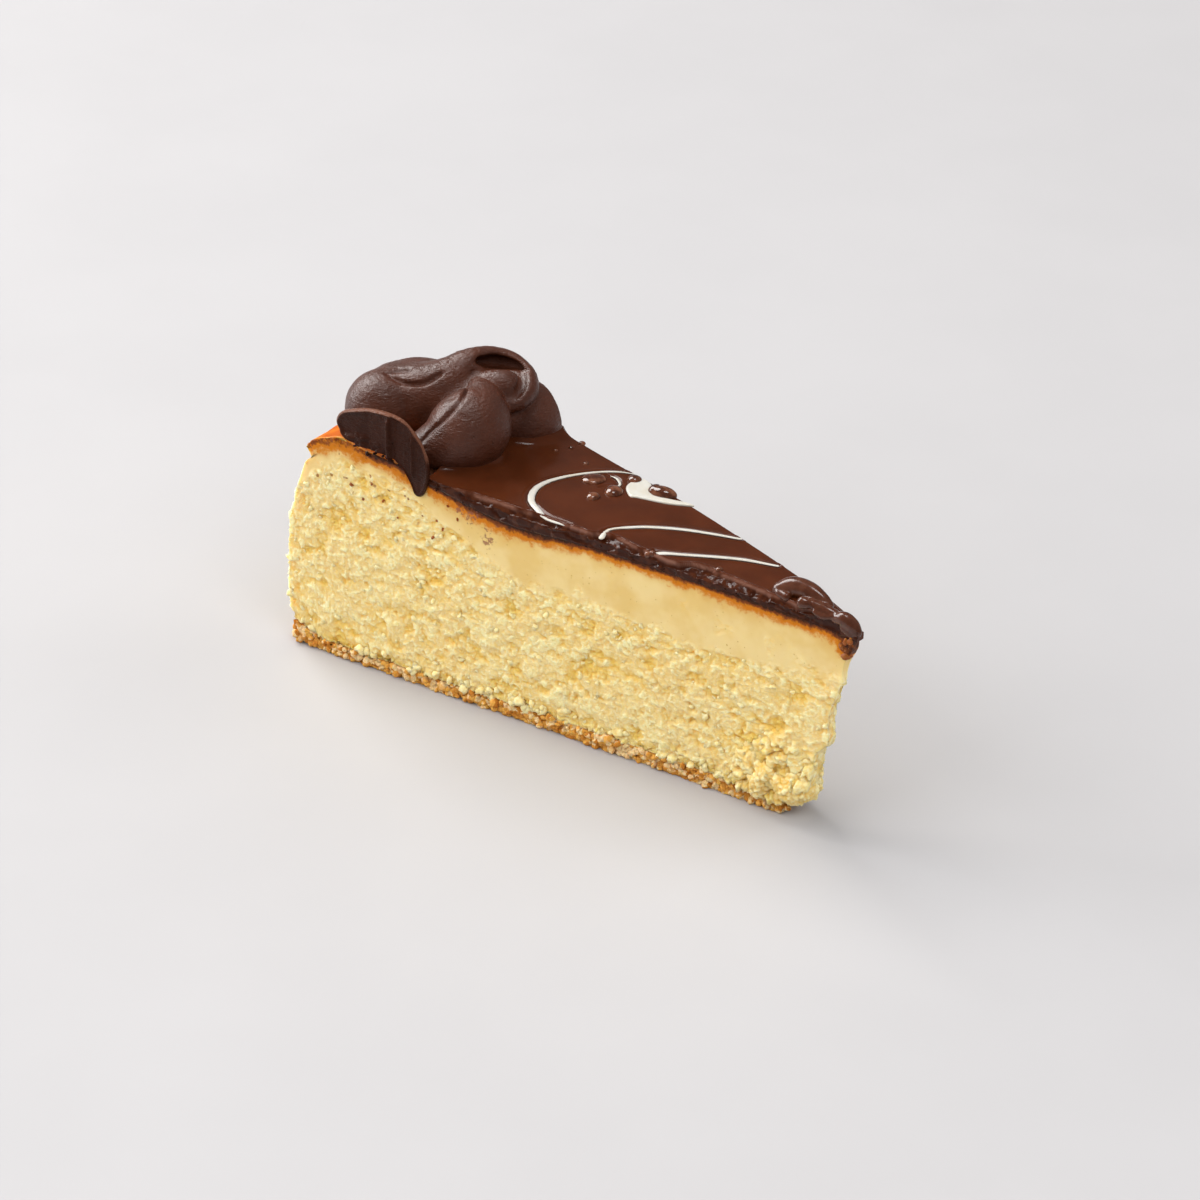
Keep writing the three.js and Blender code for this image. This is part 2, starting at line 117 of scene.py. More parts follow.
SWIRL_GROOVES = [
    [
        (13.6, 10.6, 12.4, 0.8), (14.2, 9.0, 11.9, 1.0), (13.9, 6.9, 11.1, 1.0), (12.4, 5.2, 10.4, 0.8),
        (9.8, 4.5, 10.2, 0.5),
    ],
    [
        (-1.2, 9.6, 13.1, 0.5), (-4.4, 7.9, 11.7, 0.5), (-7.4, 7.7, 11.0, 0.45), (-10.4, 8.7, 11.4, 0.35),
        (-12.2, 9.9, 12.0, 0.2),
    ],
    [(-11.6, 9.8, 12.0, 0.3), (-9.4, 10.3, 12.25, 0.5), (-7.2, 10.1, 12.3, 0.3)],
]
SWIRL_TEAR = [
    (5.6, 7.7, 11.2, 1.5), (6.6, 5.2, 9.8, 3.4), (6.4, 2.2, 7.8, 5.4), (4.3, -1.0, 5.2, 7.7),
    (1.4, -3.2, 3.4, 6.4), (-2.6, -4.4, 2.2, 4.6), (-5.6, -4.8, 1.6, 3.2),
]
SWIRL_FOLD = [
    (-0.6, 1.6, 7.0, 0.6), (1.6, 3.9, 8.2, 0.8), (3.2, 6.1, 9.3, 0.9), (4.4, 8.4, 10.8, 0.8),
    (5.0, 10.2, 12.0, 0.4),
]
# Crease pressed into the swirl's surface as knots of (right, rise on the view, radius)
SWIRL_CREASE = [
    (5.3, 12.0, 0.25), (4.6, 9.9, 0.3), (4.2, 7.4, 0.4), (3.1, 4.8, 0.45), (1.4, 2.7, 0.5),
    (-0.7, 0.6, 0.5), (-3.1, -1.5, 0.45), (-4.9, -3.7, 0.3),
]
# How softly the swirl's ropes and folds run together, its grid, its foot and how far it is sunk in
SWIRL_SOFT = 2.0
SWIRL_CRISP = 0.5
SWIRL_PARTS = 24
SWIRL_STEP = 0.3
SWIRL_LOW = (-22.5, -23.0, -0.8)
SWIRL_HIGH = (24.0, 15.0, 18.2)
SWIRL_FOOT = -0.4
SWIRL_SUNK = 0.3

# Depth of the browned band under the top as (distance from the point, depth)
BAKED_DEPTH = [
    (0, 2.4), (12, 1.9), (40, 1.7), (62, 2.0), (80, 2.3), (92, 1.9), (104, 2.4), (110, 3.4), (120, 4.0),
]
RIM_START = 104.0

# Depth of the smoothly cut band under the top as (distance from the point, depth)
SMOOTH_BAND = [(0, 11), (25, 13), (50, 12.5), (72, 11), (88, 7), (98, 4), (110, 3.5), (118, 5), (126, 7)]

# Grids of cells along, across and up, and curds and crumbs by number
CUSTARD_CELLS = (430, 56, 160)
BASE_CELLS = (330, 60, 10)
GLAZE_CELLS = (400, 110, 12)
CURDS_PER_FACE = 420
FOOT_CURDS = 45
WALL_CURDS = 260
CRUMBS_PER_FACE = 420
WALL_CRUMBS = 260
FRONT_CRUMBS = 60
TIP_CRUMBS = 16
# How near the point the scorched crumbs come, as (height, distance)
SCORCHED_FRONT = [(36, 2.4), (42.5, 0.9)]

# Sizes of the plates that the cut faces are torn into
SMALL_CURD = 0.75
LARGE_CURD = 1.6
FOOT_TONGUE = 2.4
LUMP_CLUMP = 3.6

# Lump of curds at the foot of the point: its centre, reach, clumps and (distance, height) underneath
LUMP_DISTANCE = 15.0
LUMP_HEIGHT = 7.0
LUMP_LENGTH = 10.0
LUMP_RISE = 8.5
CLUMP_REACH = (9.2, 8.4)
LUMP_CLUMPS = 64
LUMP_GRID = 0.3
LUMP_MARGIN = 3.6
LUMP_UNDERSIDE = [(7, 6.8), (8.5, 5.6), (12.5, 2.6), (14, 2.1), (22, 1.9)]

# Chocolate smeared by the knife as (distance, height, half length, half height)
SMEARS = [(82.6, 41.6, 1.8, 2.0), (79.5, 38.4, 1.8, 2.2), (85.5, 42.4, 1.4, 1.0), (76.8, 41.4, 1.0, 0.6)]

# Stretches of chocolate crumbs as (start, end, lowest, highest, number)
CHOCOLATE_CRUMBS = [(20, 92, -0.2, 0.8, 22), (92, 111, -0.3, 0.6, 26)]

# Knife-cut sliver of the next swirl, drawn on the near cut as (distance from the point, height)
SLIVER_OUTLINE = [
    (110.6, 51), (112.4, 52.2), (113.2, 54), (111.9, 56.1), (109.3, 57.3), (105.3, 58.4), (101.1, 58.7),
    (97.6, 58), (94.9, 55.8), (93.2, 53.4), (92.1, 50.4), (92.2, 47), (93.4, 43.6), (94.9, 42.8),
    (96.2, 45.2), (98.2, 48.2), (101.5, 49.9), (106, 50.4),
]
SLIVER_CENTRE = (98.8, 52.4)
SLIVER_FACE = 1.5
SLIVER_BACK = 0.2
# Where the knife's ridge and the flap stand on its face, as (distance, half width)
SLIVER_RIDGE = (100.7, 0.45)
SLIVER_FLAP = (95.6, 0.4)
SLIVER_POINTS = 260
SLIVER_RINGS = 46

# Pale drizzle as ropes of (x from the point, y, half width)
DRIZZLE_LINES = [
    [
        (-64.0, 12.6, 0.35), (-66.9, 11.4, 0.45), (-69.9, 8.8, 0.5), (-72.4, 5.2, 0.55), (-74.2, 1.2, 0.65),
        (-74.8, -2.6, 0.8), (-73.7, -5.9, 0.9), (-71.6, -8.4, 0.85), (-68.6, -9.9, 0.75),
        (-65.4, -10.6, 0.7), (-62.6, -10.3, 0.6), (-60.2, -9.9, 0.4),
    ],
    [
        (-53.3, -8.9, 0.75), (-53.8, -7.8, 0.6), (-53.4, -5.6, 0.5), (-51.4, -3, 0.6), (-49.4, -0.8, 0.6),
        (-44.3, 3.1, 0.6), (-38.5, 6.3, 0.55), (-34.4, 8.2, 0.5),
    ],
    [
        (-42.3, -6.3, 0.85), (-41.2, -5.6, 0.75), (-39.1, -4.1, 0.6), (-33.3, 0.3, 0.6), (-28.9, 3.2, 0.6),
        (-23.3, 5.7, 0.5),
    ],
    [
        (-68.4, 8.6, 0.3), (-66.3, 8.9, 0.45), (-64.6, 8.2, 0.5), (-63.6, 7.0, 0.45), (-64.8, 5.8, 0.3),
        (-66.0, 4.2, 0.25),
    ],
]
PALE_PATCH = [
    (-62.4, 7.6), (-62.9, 10.9), (-62.2, 12.1), (-59.4, 11.5), (-56.7, 8.7), (-52.7, 9.8), (-49.8, 10.8),
    (-47.8, 10.9), (-48.9, 10.1), (-52.5, 7.9), (-58, 5.9), (-59.4, 5.3),
]
LINE_PARTS = 60
DRIZZLE_KNOTS = 14
PATCH_POINTS = 70
PATCH_HALF_HEIGHT = 0.34
PATCH_ROUNDING = 0.5
DRIZZLE_FLATNESS = 0.36
DRIZZLE_WIDTH = 0.86
DRIZZLE_STEP = 0.15
DRIZZLE_MARGIN = 1.6

# Wet drops as (x from the point, y, half length, half width, half height, turn in degrees)
DARK_DROPS = [(-55.6, 10.5, 2.9, 1.75, 1.35, 12), (-57.4, 10.3, 1.3, 1.7, 1.2, 12)]
AMBER_DROPS = [
    (-68.9, 5.7, 2.4, 2.0, 0.7, 43), (-62.8, 4.7, 1.8, 2.0, 1.0, 43), (-64.3, 0.6, 1.4, 1.4, 0.8, 0),
    (-62.9, 10.6, 1.5, 1.4, 1.0, 0), (-30.1, -2.7, 0.7, 0.7, 0.5, 0), (-80.3, 14.6, 0.8, 0.7, 0.5, 43),
    (-80.5, 11.9, 0.6, 0.6, 0.4, 0), (-74.2, 9.3, 0.6, 0.6, 0.4, 0), (-81.9, 9.1, 0.5, 0.5, 0.35, 0),
    (-42.9, -6.6, 0.9, 0.7, 0.7, 0), (-43.3, -7.4, 0.7, 0.6, 0.6, 0),
]
DROP_MARGIN = 4.0

# Lumps of glaze at the point as ropes of (x from the point, y, height, radius)
TIP_LUMPS = [
    [
        (-17.6, -0.4, 45.6, 1.5), (-15.6, 0.9, 46.3, 2.0), (-12.4, 1.4, 46.6, 1.8), (-9.2, 1.2, 46.3, 1.3),
        (-7.2, 1.0, 45.8, 0.8),
    ],
    [(-16.9, -1.4, 45.6, 0.9), (-15.0, -1.6, 45.6, 0.9)],
    [(-11.4, -1.5, 45.9, 1.15), (-10.6, -1.3, 45.9, 1.0)],
    [(-10.4, -0.6, 45.7, 1.0), (-7.0, -0.3, 45.5, 1.1), (-4.4, 0.0, 45.2, 0.9)],
    [(-8.6, -1.6, 45.2, 0.5), (-7.0, -1.4, 44.8, 0.6), (-5.6, -1.1, 45.1, 0.5), (-5.0, -0.9, 45.5, 0.4)],
    [(-4.4, -0.3, 45.0, 1.1), (-2.8, -0.2, 45.4, 1.35), (-1.2, 0.0, 44.7, 1.3), (-0.2, 0.1, 43.6, 1.0)],
    [(-2.6, -0.6, 43.9, 0.8), (-1.2, -0.4, 43.2, 0.8), (-0.6, -0.1, 42.2, 0.5)],
]
TIP_LUMP_STEP = 0.17
TIP_LUMP_MARGIN = 2.6

# Browned specks on the near cut as (distance from the point, height)
SPECKS = [
    (112.6, 41.6), (110.9, 40.2), (108.2, 38.0), (106.1, 41.8), (98.2, 42.6), (97.4, 41.3), (94.2, 38.6),
    (90.9, 38.4), (89.6, 37.0), (88.3, 42.4), (103.5, 38.9), (100.2, 36.2), (92.0, 34.4), (86.1, 40.2),
]

# How closely the glaze's columns crowd at the cut edges, and how far it reaches into the custard
EDGE_CROWDING = 0.11
GLAZE_SUNK = 0.15
# How far in from the near cut the glaze has broken away, as (distance from the point, depth)
LEDGE = [
    (10, 0), (14, 0.2), (19, 0.7), (24, 1.6), (29, 2.5), (32, 2.6), (35.5, 2.2), (37, 0.3), (41, 0.2),
    (46, 0.9), (50, 1.5), (53.5, 1.8), (56, 0.3), (60, 0.2), (65, 0.5), (68, 0.9), (72, 0.5), (80, 0.6),
    (84, 0.3), (88, 0),
]

# Colours, linear
# pit_shade_yellow is painted shade for pits and for the gaps between grains; pale_curd is also the painted
# highlight on raised curds
SHADES = {
    "cream": (0.80, 0.575, 0.215), "pit_shade_yellow": (0.95, 0.585, 0.075), "pale_curd": (1.0, 0.87, 0.50),
    "toast": (0.66, 0.35, 0.07), "speck": (0.30, 0.085, 0.014), "vein": (0.30, 0.11, 0.06),
    "orange": (0.62, 0.20, 0.008), "skin": (0.40, 0.075, 0.003), "bake_brown": (0.22, 0.055, 0.008),
    "dark_brown": (0.045, 0.013, 0.005), "pore_shade": (0.55, 0.34, 0.07), "chocolate": (0.056, 0.0152, 0.0068),
    "cut_chocolate": (0.030, 0.0085, 0.0042), "cut_edge_highlight": (0.15, 0.06, 0.035),
    "glaze": (0.056, 0.0132, 0.0042), "glaze_cut": (0.034, 0.0075, 0.0025),
    "glaze_ridge_highlight": (0.24, 0.11, 0.075), "glaze_lump": (0.085, 0.026, 0.012),
    "glaze_edge": (0.060, 0.015, 0.005), "biscuit": (0.83, 0.43, 0.09),
    "biscuit_dark": (0.53, 0.20, 0.027), "biscuit_pale": (0.92, 0.70, 0.38),
    "pale_drizzle": (0.55, 0.53, 0.48), "amber": (0.17, 0.062, 0.03),
    "floor_dark": (0.424, 0.415, 0.421), "floor_pale": (0.435, 0.426, 0.432),
}

# Camera, from the photograph's view: direction, distance and focal length
CAMERA_PLACE = (388.8, -417.2, 362.9)
CAMERA_BACK = (0.5861, -0.6299, 0.5096)
CAMERA_RIGHT = (0.732, 0.681, 0.0)
CAMERA_LENS = 105.0
SENSOR_WIDTH = 36.0

# Studio in metres: lamps as (name, place, aim, size, watts, colour, seen in reflections)
FLOOR_SIZE = 6.0
MIDDLE = (0, 0, 0.02)
WHITE = (1, 1, 1)
LAMPS = [
    ("key", (-1.55, 0.15, 1.55), MIDDLE, 1.2, 37, (1, 0.985, 0.965), True),
    ("front", (-0.6, -1.35, 0.95), MIDDLE, 1.3, 13.5, WHITE, False),
    ("side", (-1.55, -0.5, 0.75), MIDDLE, 0.9, 19, WHITE, True),
    ("top", (-0.1, 0.05, 1.6), MIDDLE, 0.5, 6, WHITE, True),
    ("right", (1.3, -0.5, 1.4), (0.1, 0, 0.02), 1.2, 17, WHITE, False),
    ("back", (0.9, 1.3, 1.1), MIDDLE, 1.2, 9, WHITE, False),
]
WORLD_COLOUR = (1.0, 0.995, 0.99, 1)
WORLD_STRENGTH = 0.2


def smooth_step(low, high, value):
    share = np.clip((value - low) / (high - low), 0, 1)
    return share * share * (3 - 2 * share)


def random_at(cells, seed):
    """A repeatable value in 0..1 for each row of whole numbers."""
    mixed = cells.astype(np.int64) * np.array(CELL_MIX)
    key = (mixed[..., 0] ^ mixed[..., 1] ^ mixed[..., 2]) + seed * SEED_MIX
    key = (key ^ (key >> 15)) * SCRAMBLES[0]
    key = (key ^ (key >> 13)) * SCRAMBLES[1]
    return ((key ^ (key >> 16)) & (RANDOM_RANGE - 1)) / float(RANDOM_RANGE)


def noise(points, size, seed=0):
    """Smooth noise between -1 and 1 with features of about that size."""
    scaled = points / size
    cell = np.floor(scaled)
    part = scaled - cell
    part = part * part * (3 - 2 * part)
    total = np.zeros(len(points))
    for corner in np.ndindex(2, 2, 2):
        corner = np.array(corner)
        weight = np.prod(np.where(corner == 1, part, 1 - part), axis=1)
        total += weight * random_at(cell + corner, seed)
    return 2 * total - 1


def layered_noise(points, size, layers=3, seed=0):
    total = np.zeros(len(points))
    for layer in range(layers):
        total += noise(points, size / 2 ** layer, seed + layer) / 2 ** layer
    return total / (2 - 0.5 ** (layers - 1))


def warp_of(points, size, layers=2):
    """Shift of each point along x, y and z by noise of that size."""
    return np.stack([layered_noise(points, size, layers, seed) for seed in (3, 4, 5)], axis=1)


def cell_plates(points, size, seed=0):
    """Angular plates, one in each cell: each plate's own level and its nearness to a crack."""
    scaled = points / size
    base = np.floor(scaled)
    nearest = np.full(len(points), FIELD_FAR)
    second = np.full(len(points), FIELD_FAR)
    level = np.zeros(len(points))
    for corner in np.ndindex(3, 3, 3):
        cell = base + np.array(corner) - 1
        centre = cell + np.stack([random_at(cell, seed + axis) for axis in range(3)], axis=1)
        distance = np.linalg.norm(scaled - centre, axis=1)
        closer = distance < nearest
        second = np.where(closer, nearest, np.minimum(second, distance))
        level = np.where(closer, random_at(cell, seed + 7), level)
        nearest = np.minimum(nearest, distance)
    return level, 1 - smooth_step(0.0, CRACK_WIDTH, second - nearest)


def value_at(profile, distance):
    """Value of a profile at a distance, by straight lines through its points."""
    return np.interp(distance, *zip(*profile))


def reach_at(profile, height):
    """Distance of an upright profile from the point, at a height."""
    return np.interp(height, [knot[1] for knot in profile], [knot[0] for knot in profile])


def height_at(profile, distance):
    """Height of a profile at a distance, by a curve through its points."""
    knots = np.array(profile, float)
    distance = np.clip(distance, knots[0, 0], knots[-1, 0])
    right = np.clip(np.searchsorted(knots[:, 0], distance), 1, len(knots) - 1)
    before = np.maximum(np.arange(len(knots)) - 1, 0)
    after = np.minimum(np.arange(len(knots)) + 1, len(knots) - 1)
    slopes = (knots[after, 1] - knots[before, 1]) / (knots[after, 0] - knots[before, 0])
    left = right - 1
    span = knots[right, 0] - knots[left, 0]
    part = (distance - knots[left, 0]) / span
    rise = knots[right, 1] - knots[left, 1]
    bend = slopes[left] * span * part * (1 - part) ** 2 - slopes[right] * span * part ** 2 * (1 - part)
    return knots[left, 1] + rise * (3 - 2 * part) * part ** 2 + bend


def spline(knots, shares, closed=False):
    """Points of a smooth curve through the knots, spaced evenly along its length."""
    knots = np.array(knots, float)
    if closed:
        padded = np.vstack([knots[-1], knots, knots[0], knots[1]])
    else:
        padded = np.vstack([2 * knots[0] - knots[1], knots, 2 * knots[-1] - knots[-2]])
    pieces = []
    part = np.linspace(0, 1, SPLINE_PARTS, endpoint=False)[:, None]
    for index in range(len(padded) - 3):
        before, start, end, after = padded[index:index + 4]
        bend = (2 * before - 5 * start + 4 * end - after) * part ** 2
        twist = (3 * start - before - 3 * end + after) * part ** 3
        pieces.append(0.5 * (2 * start + (end - before) * part + bend + twist))
    pieces.append(padded[-2][None])
    dense = np.vstack(pieces)
    width = min(3, dense.shape[1])
    steps = np.linalg.norm(np.diff(dense[:, :width], axis=0), axis=1)
    length = np.concatenate([[0], np.cumsum(steps)])
    at = np.asarray(shares) * length[-1]
    return np.stack([np.interp(at, length, dense[:, axis]) for axis in range(dense.shape[1])], axis=1)


def in_slice(distance, across, height):
    """Point from its distance to the slice's point, share across (0 near, 1 far) and height."""
    angle = WEDGE_ANGLE * (across - 0.5)
    reach = np.maximum(distance, 0)
    low_tip = smooth_step(40, 33, height) * smooth_step(34, 10, reach)
    blade = TIP_HALF_WIDTH * (2 * across - 1) * np.exp(-reach / TIP_WIDTH_FADE) * (1 - 0.6 * low_tip)
    stray = across * height_at(FAR_CUT_STRAY, reach) * (1 - low_tip)
    x = TIP_X - distance + reach * (1 - np.cos(angle))
    return np.stack([x, reach * np.sin(angle) + blade + stray, height + 0 * x], axis=1)


def distance_of(points):
    """Distance of points to the slice's point, seen from above."""
    return np.hypot(TIP_X - points[:, 0], points[:, 1])


def depth_in(points, side):
    """How far points lie inside the near (-1) or far (1) cut."""
    plane = math.sin(HALF_ANGLE) * (TIP_X - points[:, 0]) - side * math.cos(HALF_ANGLE) * points[:, 1]
    return plane + (height_at(FAR_CUT_STRAY, distance_of(points)) if side == 1 else 0)


def block(counts, place):
    """Closed block of quads with counts cells along back to tip, near to far and bottom to top."""
    counts = np.array(counts)
    shell = np.ones(counts + 1, bool)
    shell[1:-1, 1:-1, 1:-1] = False
    cells = np.argwhere(shell)
    numbers = np.full(counts + 1, -1)
    numbers[tuple(cells.T)] = np.arange(len(cells))
    shares = cells / counts
    points = place(*shares.T)
    quads = []
    for axis in range(3):
        for end in (0, counts[axis]):
            face = np.take(numbers, end, axis=axis)
            quad = np.stack([face[:-1, :-1], face[1:, :-1], face[1:, 1:], face[:-1, 1:]], axis=-1)
            quad = quad.reshape(-1, 4)
            if (end == 0) != (axis == 1):
                quad = quad[:, ::-1]
            quads.append(quad)
    return points, np.vstack(quads), shares


def normals_of(points, quads):
    across = points[quads[:, 2]] - points[quads[:, 0]]
    other = points[quads[:, 3]] - points[quads[:, 1]]
    face = np.cross(across, other)
    total = np.zeros_like(points)
    for corner in range(4):
        for axis in range(3):
            total[:, axis] += np.bincount(quads[:, corner], face[:, axis], len(points))
    return total / np.maximum(np.linalg.norm(total, axis=1, keepdims=True), 1e-9)


def linked(name, data):
    """A new object of that data, in the scene."""
    made = bpy.data.objects.new(name, data)
    bpy.context.scene.collection.objects.link(made)
    return made


def finished(name, mesh, material, attributes):
    """An object from a mesh, shaded smooth, with its material and its values at the points."""
    mesh.shade_smooth()
    for key, values in attributes.items():
        layer = mesh.attributes.new(key, "FLOAT", "POINT")
        layer.data.foreach_set("value", np.asarray(values, np.float32))
    mesh.materials.append(material)
    return linked(name, mesh)


def make_piece(name, points, faces, material, attributes=None):
    """An object from points in millimetres and faces of equal corner count."""
    mesh = bpy.data.meshes.new(name)
    faces = np.asarray(faces)
    corners = faces.shape[1]
    mesh.vertices.add(len(points))
    mesh.vertices.foreach_set("co", (np.asarray(points) * MM).astype(np.float32).ravel())
    mesh.loops.add(faces.size)
    mesh.loops.foreach_set("vertex_index", faces.astype(np.int32).ravel())
    mesh.polygons.add(len(faces))
    mesh.polygons.foreach_set("loop_start", np.arange(0, faces.size, corners, dtype=np.int32))
    mesh.update(calc_edges=True)
    mesh.validate()
    return finished(name, mesh, material, attributes or {})


def rope_distance(points, path, flatness=1.0, parts=22):
    """Distance to a rope of (x, y, z, radius) knots, negative inside; far points get a large value."""
    line = spline(path, np.linspace(0, 1, parts + 1))
    reach = line[:, 3].max() + FIELD_REACH
    low, high = line[:, :3].min(axis=0) - reach, line[:, :3].max(axis=0) + reach
    near = ((points > low) & (points < high)).all(axis=1)
    scale = np.array([1, 1, 1 / flatness])
    close = points[near] * scale
    nearest = np.full(len(close), FIELD_FAR)
    for start, end in zip(line[:-1], line[1:]):
        step = (end[:3] - start[:3]) * scale
        offset = close - start[:3] * scale
        share = np.clip(offset @ step / max(step @ step, 1e-6), 0, 1)
        radius = start[3] + share * (end[3] - start[3])
        gap = np.linalg.norm(offset - share[:, None] * step, axis=1) - radius
        nearest = np.minimum(nearest, gap)
    result = np.full(len(points), FIELD_FAR)
    result[near] = nearest
    return result


def soft_union(first, second, softness):
    blend = np.maximum(softness - np.abs(first - second), 0) / softness
    return np.minimum(first, second) - blend ** 2 * softness / 4


def carved(body, hollow, softness):
    return -soft_union(-body, hollow, softness)


def mass_of(points, paths, softness, flatness=1.0):
    whole = rope_distance(points, paths[0], flatness)
    for path in paths[1:]:
        whole = soft_union(whole, rope_distance(points, path, flatness), softness)
    return whole


def box_round(places, margin):
    """Low and high corners of a box round the places."""
    return places.min(axis=0) - margin, places.max(axis=0) + margin


def blurred(values):
    """The grid averaged with its neighbours along each axis."""
    for axis in range(3):
        values = (np.roll(values, 1, axis) + 2 * values + np.roll(values, -1, axis)) / 4
    return values


def moulded(low, high, step, shape, blurs=1):
    """Points and quads of the surface where shape(points), a distance, crosses zero in a box."""
    counts = ((np.array(high) - low) / step).astype(int) + 1
    axes = [low[axis] + step * np.arange(counts[axis]) for axis in range(3)]
    grid = np.stack(np.meshgrid(*axes, indexing="ij"), axis=-1).reshape(-1, 3)
    values = shape(grid).reshape(counts)
    for _ in range(blurs):
        values = blurred(values)
    inside = values < 0
    corners_inside = np.zeros(counts - 1, int)
    for corner in np.ndindex(2, 2, 2):
        part = tuple(slice(begin, begin + count) for begin, count in zip(corner, counts - 1))
        corners_inside += inside[part]
    cells = np.argwhere((corners_inside > 0) & (corners_inside < 8))
    numbers = np.full(counts - 1, -1)
    numbers[tuple(cells.T)] = np.arange(len(cells))
    total, crossings = np.zeros((len(cells), 3)), np.zeros(len(cells))
    quads = []
    for axis in range(3):
        others = [other for other in range(3) if other != axis]
        for offset in np.ndindex(2, 2):
            start = cells.copy()
            start[:, others] += offset
            end = start.copy()
            end[:, axis] += 1
            first, last = values[tuple(start.T)], values[tuple(end.T)]
            crosses = (first < 0) != (last < 0)
            spot = start[crosses].astype(float)
            spot[:, axis] += first[crosses] / (first[crosses] - last[crosses])
            total[crosses] += spot
            crossings[crosses] += 1
        before = [slice(1, -1)] * 3
        before[axis] = slice(0, -1)
        after = list(before)
        after[axis] = slice(1, None)
        edges = np.argwhere(inside[tuple(before)] != inside[tuple(after)])
        edges += [0 if other == axis else 1 for other in range(3)]
        corners = []
        for offset in ((-1, -1), (0, -1), (0, 0), (-1, 0)):
            cell = edges.copy()
            cell[:, others] += offset
            corners.append(numbers[tuple(cell.T)])
        quad = np.stack(corners, axis=1)
        inwards = inside[tuple(edges.T)] == (axis == 1)
        quad[inwards] = quad[inwards][:, ::-1]
        quads.append(quad)
    return np.array(low) + step * total / crossings[:, None], np.vstack(quads)


def scatter(name, places, radii, material, seed, roundness=0.35, detail=2, stretch=0.35, **shares):
    """Irregular small lumps of true size, joined in one mesh, from lists of places and radii."""
    places, radii = np.vstack(places), np.concatenate(radii)
    ball = bmesh.new()
    bmesh.ops.create_icosphere(ball, subdivisions=detail, radius=1.0)
    unit = np.array([vertex.co[:] for vertex in ball.verts])
    faces = np.array([[vertex.index for vertex in face.verts] for face in ball.faces])
    ball.free()
    draw = np.random.default_rng(seed)
    count = len(places)
    scales = 1 + stretch * draw.uniform(-1, 1, (count, 1, 3))
    turns = draw.uniform(0, 2 * math.pi, (count, 2))
    cos_turn, sin_turn = np.cos(turns[:, :1]), np.sin(turns[:, :1])
    points = unit[None] * scales
    x = points[..., 0] * cos_turn - points[..., 1] * sin_turn
    y = points[..., 0] * sin_turn + points[..., 1] * cos_turn
    cos_tilt, sin_tilt = np.cos(turns[:, 1:]), np.sin(turns[:, 1:])
    z = points[..., 2] * cos_tilt - y * sin_tilt
    y = points[..., 2] * sin_tilt + y * cos_tilt
    points = np.stack([x, y, z], axis=-1)
    offsets = np.arange(count)[:, None, None] * LOOSE_SPACING
    wobble = layered_noise((points + offsets).reshape(-1, 3), LOOSE_WOBBLE, 2, seed).reshape(count, -1, 1)
    points = points * (1 + roundness * wobble) * radii[:, None, None]
    points = points + places[:, None, :]
    points = points.reshape(-1, 3)
    points[:, 2] = np.maximum(points[:, 2], FLOOR_GAP)
    all_faces = (faces[None] + np.arange(count)[:, None, None] * len(unit)).reshape(-1, 3)
    attributes = {key: np.full(len(points), value) for key, value in shares.items()}
    return make_piece(name, points, all_faces, material, attributes)


